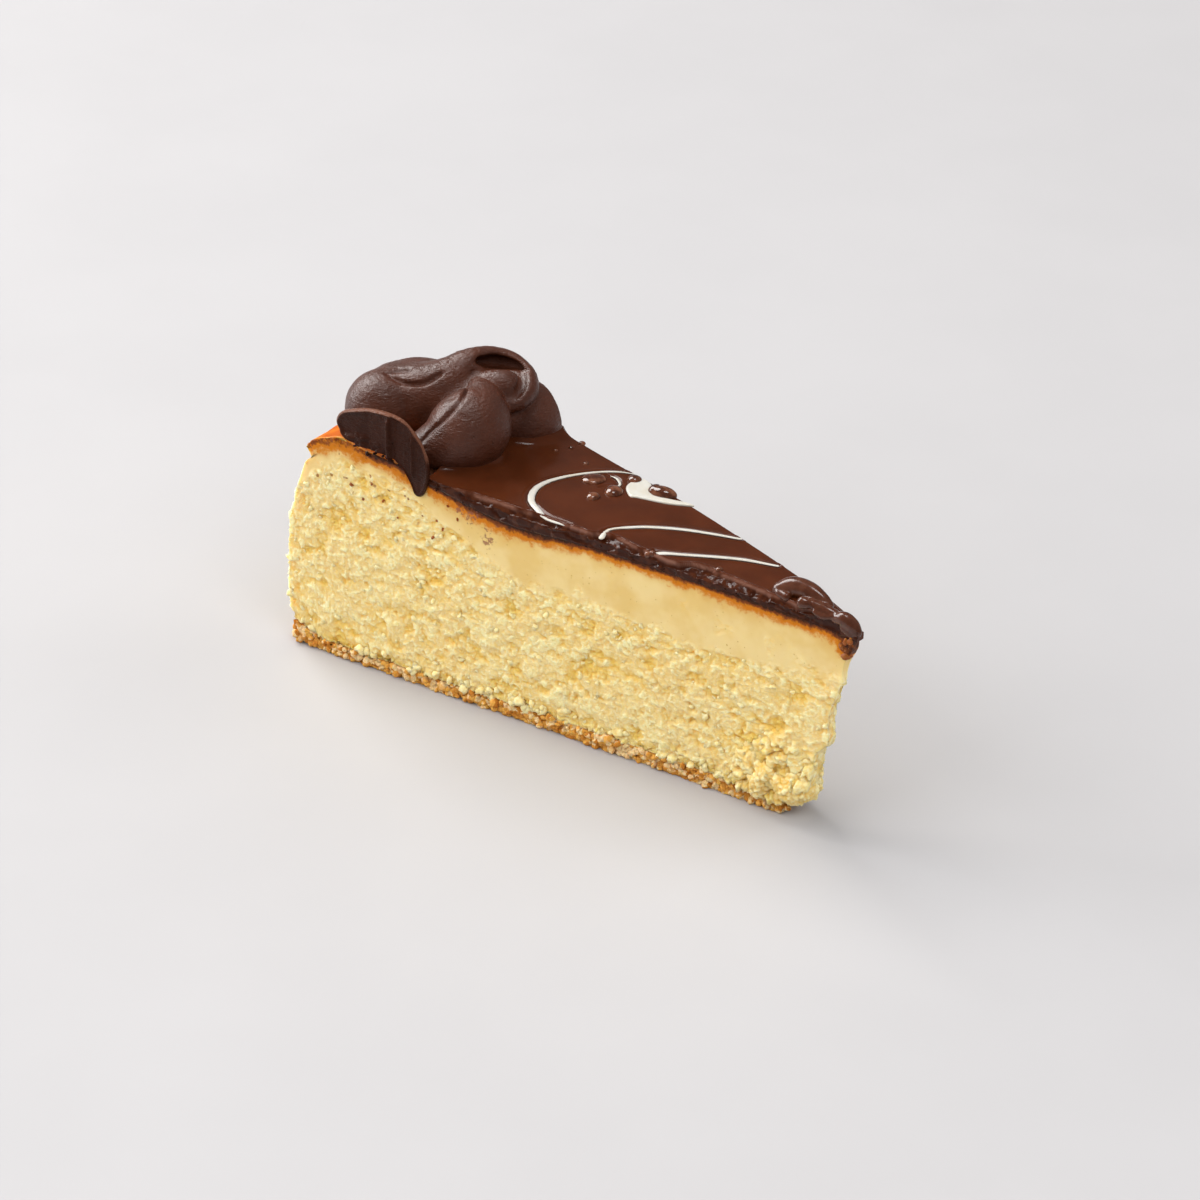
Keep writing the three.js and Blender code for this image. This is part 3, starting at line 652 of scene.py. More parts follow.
class Shader:
    """A material's node tree, built by short calls."""

    def __init__(self, name, roughness, **inputs):
        self.material = bpy.data.materials.new(name)
        self.material.use_nodes = True
        self.tree = self.material.node_tree
        self.surface = self.tree.nodes["Principled BSDF"]
        self.place = self.tree.nodes.new("ShaderNodeTexCoord").outputs["Object"]
        self.surface.inputs["Roughness"].default_value = roughness
        for key, value in inputs.items():
            self.surface.inputs[key.replace("_", " ")].default_value = value

    def node(self, kind, **values):
        made = self.tree.nodes.new(kind)
        for key, value in values.items():
            setattr(made, key, value)
        return made

    def link(self, output, target):
        self.tree.links.new(output, target)

    def stretched(self, scale):
        mapping = self.node("ShaderNodeMapping")
        mapping.inputs["Scale"].default_value = scale
        self.link(self.place, mapping.inputs["Vector"])
        return mapping.outputs["Vector"]

    def noise(self, size, detail=4.0, roughness=0.55, stretch=(1, 1, 1)):
        texture = self.node("ShaderNodeTexNoise")
        texture.inputs["Scale"].default_value = 1 / (size * MM)
        texture.inputs["Detail"].default_value = detail
        texture.inputs["Roughness"].default_value = roughness
        self.link(self.stretched(stretch), texture.inputs["Vector"])
        return texture.outputs["Fac"]

    def cells(self, size, output="Distance", warp=0.0):
        texture = self.node("ShaderNodeTexVoronoi")
        texture.inputs["Scale"].default_value = 1 / (size * MM)
        self.link(self.shaken(size, warp) if warp else self.place, texture.inputs["Vector"])
        return texture.outputs[output]

    def shaken(self, size, amount):
        """Places moved about at random by that amount in millimetres."""
        wave = self.node("ShaderNodeTexNoise")
        wave.inputs["Scale"].default_value = 1 / (size * MM)
        self.link(self.place, wave.inputs["Vector"])
        push = self.node("ShaderNodeVectorMath", operation="SCALE")
        push.inputs["Scale"].default_value = 2 * amount * MM
        self.link(wave.outputs["Color"], push.inputs[0])
        moved = self.node("ShaderNodeVectorMath", operation="ADD")
        self.link(self.place, moved.inputs[0])
        self.link(push.outputs["Vector"], moved.inputs[1])
        return moved.outputs["Vector"]

    def attribute(self, name):
        return self.node("ShaderNodeAttribute", attribute_name=name).outputs["Fac"]

    def between(self, value, low, high, start=0.0, end=1.0):
        made = self.node("ShaderNodeMapRange", interpolation_type="SMOOTHSTEP")
        for key, number in zip(("From Min", "From Max", "To Min", "To Max"), (low, high, start, end)):
            made.inputs[key].default_value = number
        self.link(value, made.inputs["Value"])
        return made.outputs["Result"]

    def math(self, operation, first, second):
        made = self.node("ShaderNodeMath", operation=operation)
        for socket, value in zip(made.inputs, (first, second)):
            if isinstance(value, (int, float)):
                socket.default_value = value
            else:
                self.link(value, socket)
        return made.outputs["Value"]

    def times(self, first, second):
        return self.math("MULTIPLY", first, second)

    def mix(self, share, first, second):
        """One colour over another; each is an output, a colour or the name of a shade."""
        made = self.node("ShaderNodeMix", data_type="RGBA")
        for key, value in (("Factor", share), ("A", first), ("B", second)):
            socket = made.inputs[key]
            value = SHADES[value] if isinstance(value, str) else value
            if isinstance(value, (int, float)):
                socket.default_value = value
            elif isinstance(value, tuple):
                socket.default_value = (*value, 1)
            else:
                self.link(value, socket)
        return made.outputs["Result"]

    def colour(self, output):
        self.link(output, self.surface.inputs["Base Color"])

    def rough(self, output):
        self.link(output, self.surface.inputs["Roughness"])

    def bump(self, *layers):
        """Bump from (height, depth in mm) pairs."""
        normal = None
        for height, depth in layers:
            made = self.node("ShaderNodeBump")
            made.inputs["Distance"].default_value = depth * MM
            made.inputs["Strength"].default_value = 1.0
            self.link(height, made.inputs["Height"])
            if normal:
                self.link(normal, made.inputs["Normal"])
            normal = made.outputs["Normal"]
        self.link(normal, self.surface.inputs["Normal"])


def brighter(shade):
    return tuple(value * 1.25 for value in SHADES[shade])


def custard_material(name, glow, radius):
    shader = Shader(name, 0.5, Subsurface_Weight=glow, Subsurface_Radius=radius,
                    Subsurface_Scale=1.3 * MM, Specular_IOR_Level=0.14)
    broad = shader.between(shader.noise(9, 3), 0.35, 0.65)
    colour = shader.mix(shader.times(broad, 0.35), "cream", "pale_curd")
    curdy = shader.attribute("curdy")
    pit_shade = shader.attribute("pit_shade")
    # The torn zone is paler overall; its raised curds are paler still as a painted highlight.
    tint = shader.times(curdy, shader.math("ADD", 0.35, shader.attribute("chip")))
    colour = shader.mix(shader.math("MINIMUM", tint, 1.0), colour, "pale_curd")
    grains = shader.between(shader.cells(0.62, warp=0.35), 0.25, 0.8)
    # Painted shade: the gaps between the grains' domes, pressed in by the bump below, are coloured deep
    # yellow.
    colour = shader.mix(shader.times(curdy, shader.times(grains, 0.3)), colour, "pit_shade_yellow")
    # Painted shade: the pits of the torn relief are coloured deep yellow.
    colour = shader.mix(shader.times(pit_shade, 0.7), colour, "pit_shade_yellow")
    # Pinholes: dented by the bump, and coloured darker inside as painted shade.
    pores = shader.between(shader.cells(1.15), 0.15, 0.07)
    rare = shader.between(shader.noise(1.5, 1), 0.48, 0.54)
    pores = shader.times(shader.times(pores, rare), shader.between(curdy, 0.8, 0.2, 0.3, 1))
    colour = shader.mix(shader.times(pores, 0.7), colour, "pore_shade")
    speck = shader.between(shader.cells(2.9, warp=0.8), 0.15, 0.07)
    speck = shader.times(speck, shader.attribute("specked"))
    colour = shader.mix(shader.times(speck, 0.75), colour, "speck")
    level = shader.attribute("baked")
    ragged = shader.times(shader.math("SUBTRACT", shader.noise(1.0, 5, 0.65), 0.5), 0.9)
    baked = shader.times(shader.math("ADD", level, ragged), shader.between(level, 0.02, 0.2))
    colour = shader.mix(shader.between(level, 0.02, 0.45, 0, 0.55), colour, "toast")
    for start, end, shade in ((0.22, 0.55, "orange"), (0.62, 0.85, "bake_brown"), (0.85, 1.1, "dark_brown")):
        colour = shader.mix(shader.between(baked, start, end), colour, shade)
    skin = shader.attribute("skin")
    skin_patch = shader.between(shader.noise(3.5, 4), 0.4, 0.7, 0, 0.35)
    colour = shader.mix(skin, colour, shader.mix(skin_patch, "skin", "orange"))
    shader.rough(shader.between(skin, 0, 1, 0.5, 0.72))
    smear = shader.between(shader.attribute("smear"), 0.1, 0.5)
    veins = shader.times(smear, shader.between(shader.noise(0.7, 3), 0.44, 0.54))
    colour = shader.mix(shader.times(veins, 0.8), colour, "vein")
    shader.colour(colour)
    grain = shader.times(shader.noise(0.45, 4, 0.6), shader.between(curdy, 0, 1, 0.15, 1))
    domes = shader.times(shader.times(grains, curdy), -1)
    shader.bump((grain, 0.16), (domes, 0.07), (shader.times(pores, -0.5), 0.12))
    return shader.material


def crumb_material():
    shader = Shader("crumb", 0.8, Subsurface_Weight=0.25, Subsurface_Radius=(1.0, 0.5, 0.2),
                    Subsurface_Scale=0.8 * MM, Specular_IOR_Level=0.25)
    split = shader.node("ShaderNodeSeparateColor")
    shader.link(shader.cells(1.1, output="Color"), split.inputs["Color"])
    colour = shader.mix(shader.between(split.outputs["Red"], 0.1, 0.75), "biscuit_dark", "biscuit")
    pale = shader.times(shader.between(split.outputs["Green"], 0.62, 0.72), 0.85)
    colour = shader.mix(pale, colour, "biscuit_pale")
    colour = shader.mix(shader.between(shader.noise(0.5, 4), 0.6, 0.4, 0, 0.4), colour, "biscuit_dark")
    shader.colour(colour)
    shader.bump((shader.noise(0.4, 5, 0.65), 0.2), (shader.cells(0.6), 0.12))
    return shader.material


def scorched_material():
    shader = Shader("scorched", 0.45, Subsurface_Weight=0.3, Subsurface_Radius=(1.0, 0.4, 0.15),
                    Subsurface_Scale=0.8 * MM, Specular_IOR_Level=0.35)
    colour = shader.mix(shader.between(shader.noise(1.3, 4), 0.28, 0.42), "dark_brown", "speck")
    shader.colour(shader.mix(shader.between(shader.noise(0.9, 3), 0.6, 0.7), colour, "orange"))
    shader.bump((shader.noise(0.4, 4), 0.1))
    return shader.material


def chocolate_material(name, roughness, shine):
    shader = Shader(name, roughness, Subsurface_Weight=0.05, Subsurface_Radius=(1.0, 0.4, 0.25),
                    Subsurface_Scale=0.8 * MM, Specular_IOR_Level=shine)
    patch = shader.between(shader.noise(5, 3), 0.35, 0.65)
    colour = shader.mix(patch, name, brighter(name))
    # Painted highlight: the edge value lightens the sliver's rim.
    shader.colour(shader.mix(shader.attribute("edge"), colour, "cut_edge_highlight"))
    shader.rough(shader.between(shader.noise(2.2, 4), 0.3, 0.7, roughness - 0.06, roughness + 0.08))
    bubbles = shader.between(shader.cells(3.1), 0.1, 0.06)
    bubbles = shader.times(bubbles, shader.between(shader.noise(2.1, 1), 0.5, 0.56))
    strokes = shader.noise(0.5, 3, 0.6, (0.5, 0.5, 1.5))
    shader.bump((shader.noise(1.1, 4, 0.6), 0.16), (strokes, 0.2), (shader.times(bubbles, -1), 0.15))
    return shader.material


def glaze_material():
    shader = Shader("glaze", 0.2, Subsurface_Weight=0.06, Subsurface_Radius=(1.0, 0.3, 0.12),
                    Subsurface_Scale=1.0 * MM, Specular_IOR_Level=0.15,
                    Coat_Weight=0.06, Coat_Roughness=0.05)
    patch = shader.between(shader.noise(8, 3), 0.35, 0.68)
    colour = shader.mix(patch, "glaze", brighter("glaze"))
    cut = shader.attribute("cut")
    dark = shader.mix(shader.between(shader.noise(1.6, 3), 0.45, 0.62), "glaze_cut", "glaze_edge")
    colour = shader.mix(cut, colour, dark)
    # Painted highlight: a lighter line along the rim of the broken near edge.
    shader.colour(shader.mix(shader.attribute("ridge"), colour, "glaze_ridge_highlight"))
    shader.rough(shader.between(shader.noise(1.5, 3), 0.35, 0.65, 0.1, 0.22))
    shader.bump((shader.noise(7, 2), 0.2), (shader.times(shader.noise(1.6, 2), cut), 0.14))
    return shader.material


def drizzle_material():
    shader = Shader("drizzle", 0.3, Subsurface_Weight=0.25, Subsurface_Radius=(1.0, 0.85, 0.65),
                    Subsurface_Scale=0.6 * MM, Specular_IOR_Level=0.4, Coat_Weight=0.2, Coat_Roughness=0.12)
    warm = tuple(a * b for a, b in zip(SHADES["pale_drizzle"], (0.95, 0.92, 0.86)))
    shader.colour(shader.mix(shader.between(shader.noise(2.5, 3), 0.35, 0.7), "pale_drizzle", warm))
    shader.bump((shader.noise(1.4, 3), 0.05))
    return shader.material


def drop_material(name, light, dark, roughness, coat):
    shader = Shader(name, roughness, Subsurface_Weight=0.2, Subsurface_Radius=(1.0, 0.35, 0.15),
                    Subsurface_Scale=1.0 * MM, Specular_IOR_Level=0.45, Coat_Weight=coat, Coat_Roughness=0.06)
    shader.colour(shader.mix(shader.between(shader.noise(1.8, 2), 0.35, 0.65), light, dark))
    shader.bump((shader.noise(2.0, 2), 0.05))
    return shader.material


def curdiness(distance, height, points):
    """How much a place of the cut face is torn into curds (1) rather than cut smooth (0)."""
    below_top = height_at(TOP_PROFILE, distance) - height
    border = value_at(SMOOTH_BAND, distance) + 2.6 * layered_noise(points, 7, 3, 11)
    torn = smooth_step(-1.0, 1.4, below_top - border)
    near_tip = smooth_step(9, 3, distance - 2.0 * noise(points, 4, 5)) * smooth_step(7, 11, below_top)
    patch = smooth_step(0.3, 0.55, layered_noise(points, 4.5, 2, 31)) * smooth_step(3, 7, below_top) * 0.5
    return np.clip(np.maximum(np.maximum(torn, near_tip), patch), 0.0, 1)


def lump_depth(distance, height):
    """How much a place belongs to the lump of curds at the foot of the point."""
    along = (distance - LUMP_DISTANCE) / LUMP_LENGTH
    up = (height - LUMP_HEIGHT) / LUMP_RISE
    return np.exp(-((along ** 2 + up ** 2) ** 1.5))


def on_patch(bottom, top, back, tip, along, up):
    """Section point between four edges, each a function of its share."""
    low, high, rear, front = bottom(along), top(along), back(up), tip(up)
    ends = [bottom(np.array([0.0, 1.0])), top(np.array([0.0, 1.0]))]
    along, up = along[:, None], up[:, None]
    corners = (1 - up) * ((1 - along) * ends[0][0] + along * ends[0][1])
    corners = corners + up * ((1 - along) * ends[1][0] + along * ends[1][1])
    return (1 - up) * low + up * high + (1 - along) * rear + along * front - corners


def custard_section(along, up):
    """Distance and height inside the custard's outline, from shares of its length and height."""
    def bottom(share):
        distance = WALL_PROFILE[0][0] + (TIP_PROFILE[0][0] - WALL_PROFILE[0][0]) * share ** 1.1
        return np.stack([distance, height_at(BASE_PROFILE, distance) + 0.1], axis=1)

    def top(share):
        distance = TOP_PROFILE[-1][0] + (TOP_PROFILE[0][0] - TOP_PROFILE[-1][0]) * share ** 1.1
        return np.stack([distance, height_at(TOP_PROFILE, distance)], axis=1)

    return on_patch(bottom, top, lambda share: spline(WALL_PROFILE, 1 - (1 - share) ** 1.25),
                    lambda share: spline(TIP_PROFILE, share), along, up)


def custard_piece(material):
    def place(along, across, up):
        section = custard_section(along, up)
        return in_slice(section[:, 0], across, section[:, 1])

    points, quads, shares = block(CUSTARD_CELLS, place)
    normals = normals_of(points, quads)
    along, across, up = shares.T
    distance, height = distance_of(points), points[:, 2]
    below_top = height_at(TOP_PROFILE, distance) - height
    on_face = (across == 0) | (across == 1)
    on_tip = (along == 1) & ~on_face
    on_wall = (along == 0) & ~on_face
    on_top = (up == 1) & ~on_face
    curdy = curdiness(distance, height, points) * (on_face | on_tip)
    curdy = np.maximum(curdy, on_wall * smooth_step(42, 37, height) * 0.8)
    warp = warp_of(points, 1.5)
    small, small_crack = cell_plates(points + 0.3 * warp, SMALL_CURD, 40)
    large, large_crack = cell_plates((points + 0.7 * warp) * [0.8, 1, 1.2], LARGE_CURD, 50)
    gaps = smooth_step(0.0, 0.45, layered_noise(points * [1, 1, 1.5], 3.4, 3, 60))
    sunk = 0.3 * large_crack + 0.25 * (1 - large) + 0.2 * small_crack
    torn = 0.26 * small + 0.26 * large - 0.24 - gaps * sunk
    # Painted highlight on the raised plates of the torn relief.
    chip = smooth_step(-0.05, 0.35, torn + 0.1 * layered_noise(points, 0.8, 2, 61))
    torn += 0.3 * layered_noise(points, 6, 3, 65) + 0.16 * layered_noise(points, 1.9, 2, 67)
    relief = curdy * torn + on_face * (1 - curdy) * 0.08 * layered_noise(points, 6, 3, 70)
    lump = lump_depth(distance, height) * np.where(across == 0, 1, 0.4) * on_face
    clump, clump_crack = cell_plates(points + 1.6 * warp, LUMP_CLUMP, 80)
    relief += lump * (1.1 + 1.9 * clump * (1 - clump_crack) - 0.9 * clump_crack)
    above_base = height - height_at(BASE_PROFILE, distance)
    foot = smooth_step(4.0, 0.8, above_base - 1.2 * noise(points, 3, 85)) * on_face
    tongue, tongue_crack = cell_plates(points + warp, FOOT_TONGUE, 90)
    relief += foot * (tongue * (1 - tongue_crack) - 0.5)
    wall_marks = 0.25 * layered_noise(points * [1, 1, 0.6], 5, 3, 95) - 0.1
    relief += on_wall * wall_marks + on_top * 0.22 * layered_noise(points, 4, 4, 97)
    relief = np.where(on_top & (np.minimum(across, 1 - across) * CUSTARD_CELLS[1] < 1), 0, relief)
    lips = on_face & (distance > RIM_START)
    relief += lips * smooth_step(3.5, 0.3, below_top) * (0.5 * layered_noise(points, 1.4, 3, 99) - 0.05)
    points = points + normals * relief[:, None]

    depth = value_at(BAKED_DEPTH, distance) * (1 + 0.55 * layered_noise(points, 3.0, 3, 130))
    at_rim = smooth_step(103, 109, distance)
    strength = 1.2 - 0.4 * at_rim
    fall = (np.maximum(below_top, 0) / np.maximum(depth, 0.3)) ** (1.2 + 0.9 * at_rim)
    band = strength * np.exp(-fall)
    scorched = smooth_step(5.8, 3.0, below_top + layered_noise(points, 1.5, 2, 135))
    scorched = scorched * smooth_step(5.2, 2.2, distance)
    stains = smooth_step(0.2, 0.6, layered_noise(points, 7, 3, 150))
    wall = 0.6 * smooth_step(41.5, 44.5, height) + 0.05 * stains
    baked = np.where(on_face | on_tip, np.maximum(band, scorched), 0) + on_wall * wall
    specked = smooth_step(84, 96, distance) * smooth_step(14, 8, below_top) * on_face
    # Painted shade: low places of the torn relief, cracks between the lump's clumps and low plates at the
    # foot count as pits, coloured deep yellow.
    pit_shade = curdy * smooth_step(0.05, -0.55, torn) + 0.8 * lump * clump_crack + 0.7 * foot * (1 - tongue)
    bare_top = on_top * smooth_step(97, 102, distance)
    baked = np.maximum(baked, 1.2 * (on_top - bare_top))
    attributes = {
        "curdy": curdy, "chip": chip, "pit_shade": np.clip(pit_shade, 0, 1), "baked": np.clip(baked, 0, 1.2),
        "skin": bare_top, "specked": specked, "smear": smear_mask(distance, height, points) * (across == 0),
    }
    return make_piece("custard_body", points, quads, material, attributes)


def smear_mask(distance, height, points):
    """Chocolate dragged by the knife over the near cut face below the glaze's back end."""
    ragged = 1.1 * layered_noise(points, 1.0, 3, 170)
    mask = np.zeros(len(points))
    for spot_distance, spot_height, half_length, half_height in SMEARS:
        reach = np.hypot((distance - spot_distance) / half_length, (height - spot_height) / half_height)
        mask = np.maximum(mask, 1.0 - reach + ragged)
    return np.clip(mask, 0, 1)


def on_cut(draw, side, distance, height, low, high):
    """Places on the near (0) or far (1) cut, each pushed outwards by a random amount."""
    places = in_slice(distance, np.full(len(distance), float(side)), height)
    places[:, 1] += (2 * side - 1) * draw.uniform(low, high, len(distance))
    return places


def curd_piece(material):
    """Half-loose curds over the torn faces and along the foot."""
    draw = np.random.default_rng(7)
    places, radii = [], []
    for side in (0, 1):
        distance = draw.uniform(5, 126, CURDS_PER_FACE)
        base = height_at(BASE_PROFILE, distance)
        share = draw.uniform(0.02, 1, CURDS_PER_FACE)
        height = base + share * (height_at(TOP_PROFILE, distance) - base)
        spots = on_cut(draw, side, distance, height, -0.55, -0.15)
        wall = reach_at(WALL_PROFILE[:-1], height)
        keep = curdiness(distance, height, spots) > draw.uniform(0.3, 1, CURDS_PER_FACE)
        keep &= (distance < wall - 0.6) & (distance > reach_at(TIP_PROFILE, height) + 0.6)
        places.append(spots[keep])
        radii.append(draw.uniform(0.25, 0.6, CURDS_PER_FACE)[keep])
        distance = draw.uniform(18, 125, FOOT_CURDS)
        height = height_at(BASE_PROFILE, distance) + draw.uniform(-0.2, 1.8, FOOT_CURDS)
        places.append(on_cut(draw, side, distance, height, -0.8, 0.0))
        radii.append(draw.uniform(0.35, 1.0, FOOT_CURDS))
    height = draw.uniform(3, 40, WALL_CURDS)
    distance = reach_at(WALL_PROFILE[:-1], height) - draw.uniform(0.15, 0.5, WALL_CURDS)
    places.append(in_slice(distance, draw.uniform(0, 1, WALL_CURDS), height))
    radii.append(draw.uniform(0.35, 1.0, WALL_CURDS))
    # The loose curds carry half of the painted highlight of raised curds.
    return scatter("curds", places, radii, material, 21, 1.0, curdy=1.0, chip=0.5)


def lump_piece(material):
    """Clumps of curd pushed out at the foot of the point."""
    draw = np.random.default_rng(19)
    turn = draw.uniform(0, 2 * math.pi, LUMP_CLUMPS)
    share = np.sqrt(draw.uniform(0, 1, LUMP_CLUMPS))
    distance = LUMP_DISTANCE + CLUMP_REACH[0] * share * np.cos(turn)
    height = LUMP_HEIGHT + CLUMP_REACH[1] * share * np.sin(turn)
    radii = draw.uniform(1.2, 3.0, LUMP_CLUMPS) * (1.1 - 0.45 * share)
    distance = np.maximum(distance, 8.0 + 0.8 * radii)
    height = np.maximum(height, 0.85 * radii + value_at(LUMP_UNDERSIDE, distance))
    side = np.where(draw.uniform(0, 1, LUMP_CLUMPS) < 0.8, 0.0, 1.0)
    places = in_slice(distance, side, height)
    proud = 1.9 * (1 - share ** 2) - 0.66 * radii
    places[:, 1] += np.where(side == 0, -proud, -0.4)

    def shape(grid):
        whole = np.full(len(grid), FIELD_FAR)
        for place, radius in zip(places, radii):
            close = (np.abs(grid - place) < radius + 2).all(axis=1)
            gap = np.linalg.norm(grid[close] - place, axis=1) - radius
            whole[close] = soft_union(whole[close], gap, 0.5)
        return whole

    points, quads = moulded(*box_round(places, LUMP_MARGIN), LUMP_GRID, shape)
    normals = normals_of(points, quads)
    warp = warp_of(points, 1.2)
    level, crack = cell_plates(points + 0.4 * warp, 1.2, 180)
    fine, fine_crack = cell_plates(points + 0.2 * warp, 0.7, 190)
    relief = 0.45 * level - 0.3 * crack + 0.2 * fine - 0.12 * fine_crack - 0.2
    points = points + normals * relief[:, None]
    points[:, 2] = np.maximum(points[:, 2], 0.05)
    # Painted shade in the low places and cracks, painted highlight on the raised places.
    pit_shade = np.clip(smooth_step(0.0, -0.45, relief) + 0.2 * crack, 0, 1)
    attributes = {"curdy": np.full(len(points), 0.8), "chip": smooth_step(0.0, 0.4, relief), "pit_shade": pit_shade}
    return make_piece("lump_curds", points, quads, material, attributes)


def base_piece(material):
    def place(along, across, up):
        distance = BASE_WALL + (BASE_FRONT - BASE_WALL) * along
        return in_slice(distance, across, up * height_at(BASE_PROFILE, distance))

    points, quads, shares = block(BASE_CELLS, place)
    normals = normals_of(points, quads)
    along, across, _ = shares.T
    side = (across == 0) | (across == 1) | (along == 0) | (along == 1)
    level, crack = cell_plates(points + 0.4 * warp_of(points, 0.9, 1), 1.3, 200)
    relief = 0.6 * level - 0.35 * crack + 0.4 * layered_noise(points, 2.5, 3, 210) - 0.3
    points = points + normals * (relief * side)[:, None]
    points[:, 2] = np.maximum(points[:, 2], 0)
    return make_piece("crumb_body", points, quads, material)


def crumb_pieces(material):
    """Biscuit crumbs on the base's cut faces, its wall and its front."""
    draw = np.random.default_rng(11)
    places, radii = [], []
    for side in (0, 1):
        distance = draw.uniform(13, 126.5, CRUMBS_PER_FACE)
        height = draw.uniform(0.1, 1, CRUMBS_PER_FACE) * height_at(BASE_PROFILE, distance)
        places.append(on_cut(draw, side, distance, height, -0.55, 0.0))
        radii.append(draw.uniform(0.3, 0.85, CRUMBS_PER_FACE))
    across = draw.uniform(0, 1, WALL_CRUMBS)
    distance = BASE_WALL + draw.uniform(-0.3, 0.15, WALL_CRUMBS)
    places.append(in_slice(distance, across, draw.uniform(0.3, 4.8, WALL_CRUMBS)))
    radii.append(draw.uniform(0.3, 0.8, WALL_CRUMBS))
    distance = BASE_FRONT + draw.uniform(-0.3, 0.6, FRONT_CRUMBS)
    across = draw.uniform(0, 1, FRONT_CRUMBS)
    places.append(in_slice(distance, across, draw.uniform(0.3, 2.4, FRONT_CRUMBS)))
    radii.append(draw.uniform(0.35, 0.9, FRONT_CRUMBS))
    return scatter("crumbs", places, radii, material, 23, 0.45)


def in_swirl(path, lift=0.0):
    """Rope knots from (right, rise on the view, height, radius) to the swirl's own frame."""
    knots = np.array(path, float)
    knots[:, 2] += lift
    away = (knots[:, 1] - VIEW_RISE_PER_HEIGHT * knots[:, 2]) / VIEW_RISE_PER_DEPTH
    return np.stack([knots[:, 0], away, knots[:, 2], knots[:, 3]], axis=1)


def swirl_body(points):
    """Distance to the swirl before its crease is pressed in."""
    coil, heart = (mass_of(points, [in_swirl(path) for path in paths], SWIRL_SOFT)
                   for paths in (SWIRL_COIL, SWIRL_HEART))
    whole = soft_union(coil, heart, SWIRL_SOFT)
    whole = soft_union(whole, rope_distance(points, in_swirl(SWIRL_BULB), parts=30), SWIRL_CRISP)
    hollows = [in_swirl(SWIRL_HOLLOW, height) for height in SWIRL_HOLLOW_HEIGHTS]
    whole = carved(whole, mass_of(points, hollows, SWIRL_CRISP), SWIRL_CRISP)
    for path, softness in ((SWIRL_INNER_LOBE, 1.0), (SWIRL_TEAR, 0.15), (SWIRL_FOLD, 0.35)):
        whole = soft_union(whole, rope_distance(points, in_swirl(path)), softness)
    for path in SWIRL_GROOVES:
        whole = carved(whole, rope_distance(points, in_swirl(path)), SWIRL_CRISP)
    return whole


def on_swirl(right, rise, radius):
    """Rope knot on the swirl's visible surface."""
    heights = np.arange(0, SWIRL_HIGH[2], 0.1)
    line = in_swirl([(right, rise, height, radius) for height in heights])
    inside = swirl_body(line[:, :3]) < 0
    return (right, rise, heights[inside].max() if inside.any() else 0.0, radius)


def swirl_shape(points):
    crease = in_swirl([on_swirl(*knot) for knot in SWIRL_CREASE])
    whole = carved(swirl_body(points), rope_distance(points, crease), 0.2)
    return np.maximum(whole, SWIRL_FOOT - points[:, 2])


def to_part(points):
    """From the swirl's own frame to the slice's."""
    cos_turn, sin_turn = math.cos(SWIRL_TURN), math.sin(SWIRL_TURN)
    x = TIP_X + SWIRL_CENTRE[0] + points[:, 0] * cos_turn - points[:, 1] * sin_turn
    y = SWIRL_CENTRE[1] + points[:, 0] * sin_turn + points[:, 1] * cos_turn
    return np.stack([x, y, SWIRL_CENTRE[2] + points[:, 2]], axis=1)


def distance_to_swirl(points):
    """Distance from points on the top to the swirl's foot, seen from above."""
    nearest = np.full(len(points), FIELD_FAR)
    for path in [*SWIRL_COIL, *SWIRL_HEART, SWIRL_TEAR, SWIRL_BULB]:
        line = spline(in_swirl(path), np.linspace(0, 1, SWIRL_PARTS))
        places = to_part(line[:, :3])
        for (x, y, _), height, radius in zip(places, line[:, 2], line[:, 3]):
            if abs(height) < radius:
                foot = math.sqrt(radius ** 2 - height ** 2)
                nearest = np.minimum(nearest, np.hypot(points[:, 0] - x, points[:, 1] - y) - foot)
    return nearest


def distance_to_lines(points):
    """Distance from points to the drizzle's centre lines, seen from above, less their half width."""
    nearest = np.full(len(points), FIELD_FAR)
    for line in DRIZZLE_LINES:
        for x, y, half_width in spline(line, np.linspace(0, 1, LINE_PARTS)):
            nearest = np.minimum(nearest, np.hypot(points[:, 0] - TIP_X - x, points[:, 1] - y) - half_width)
    return nearest


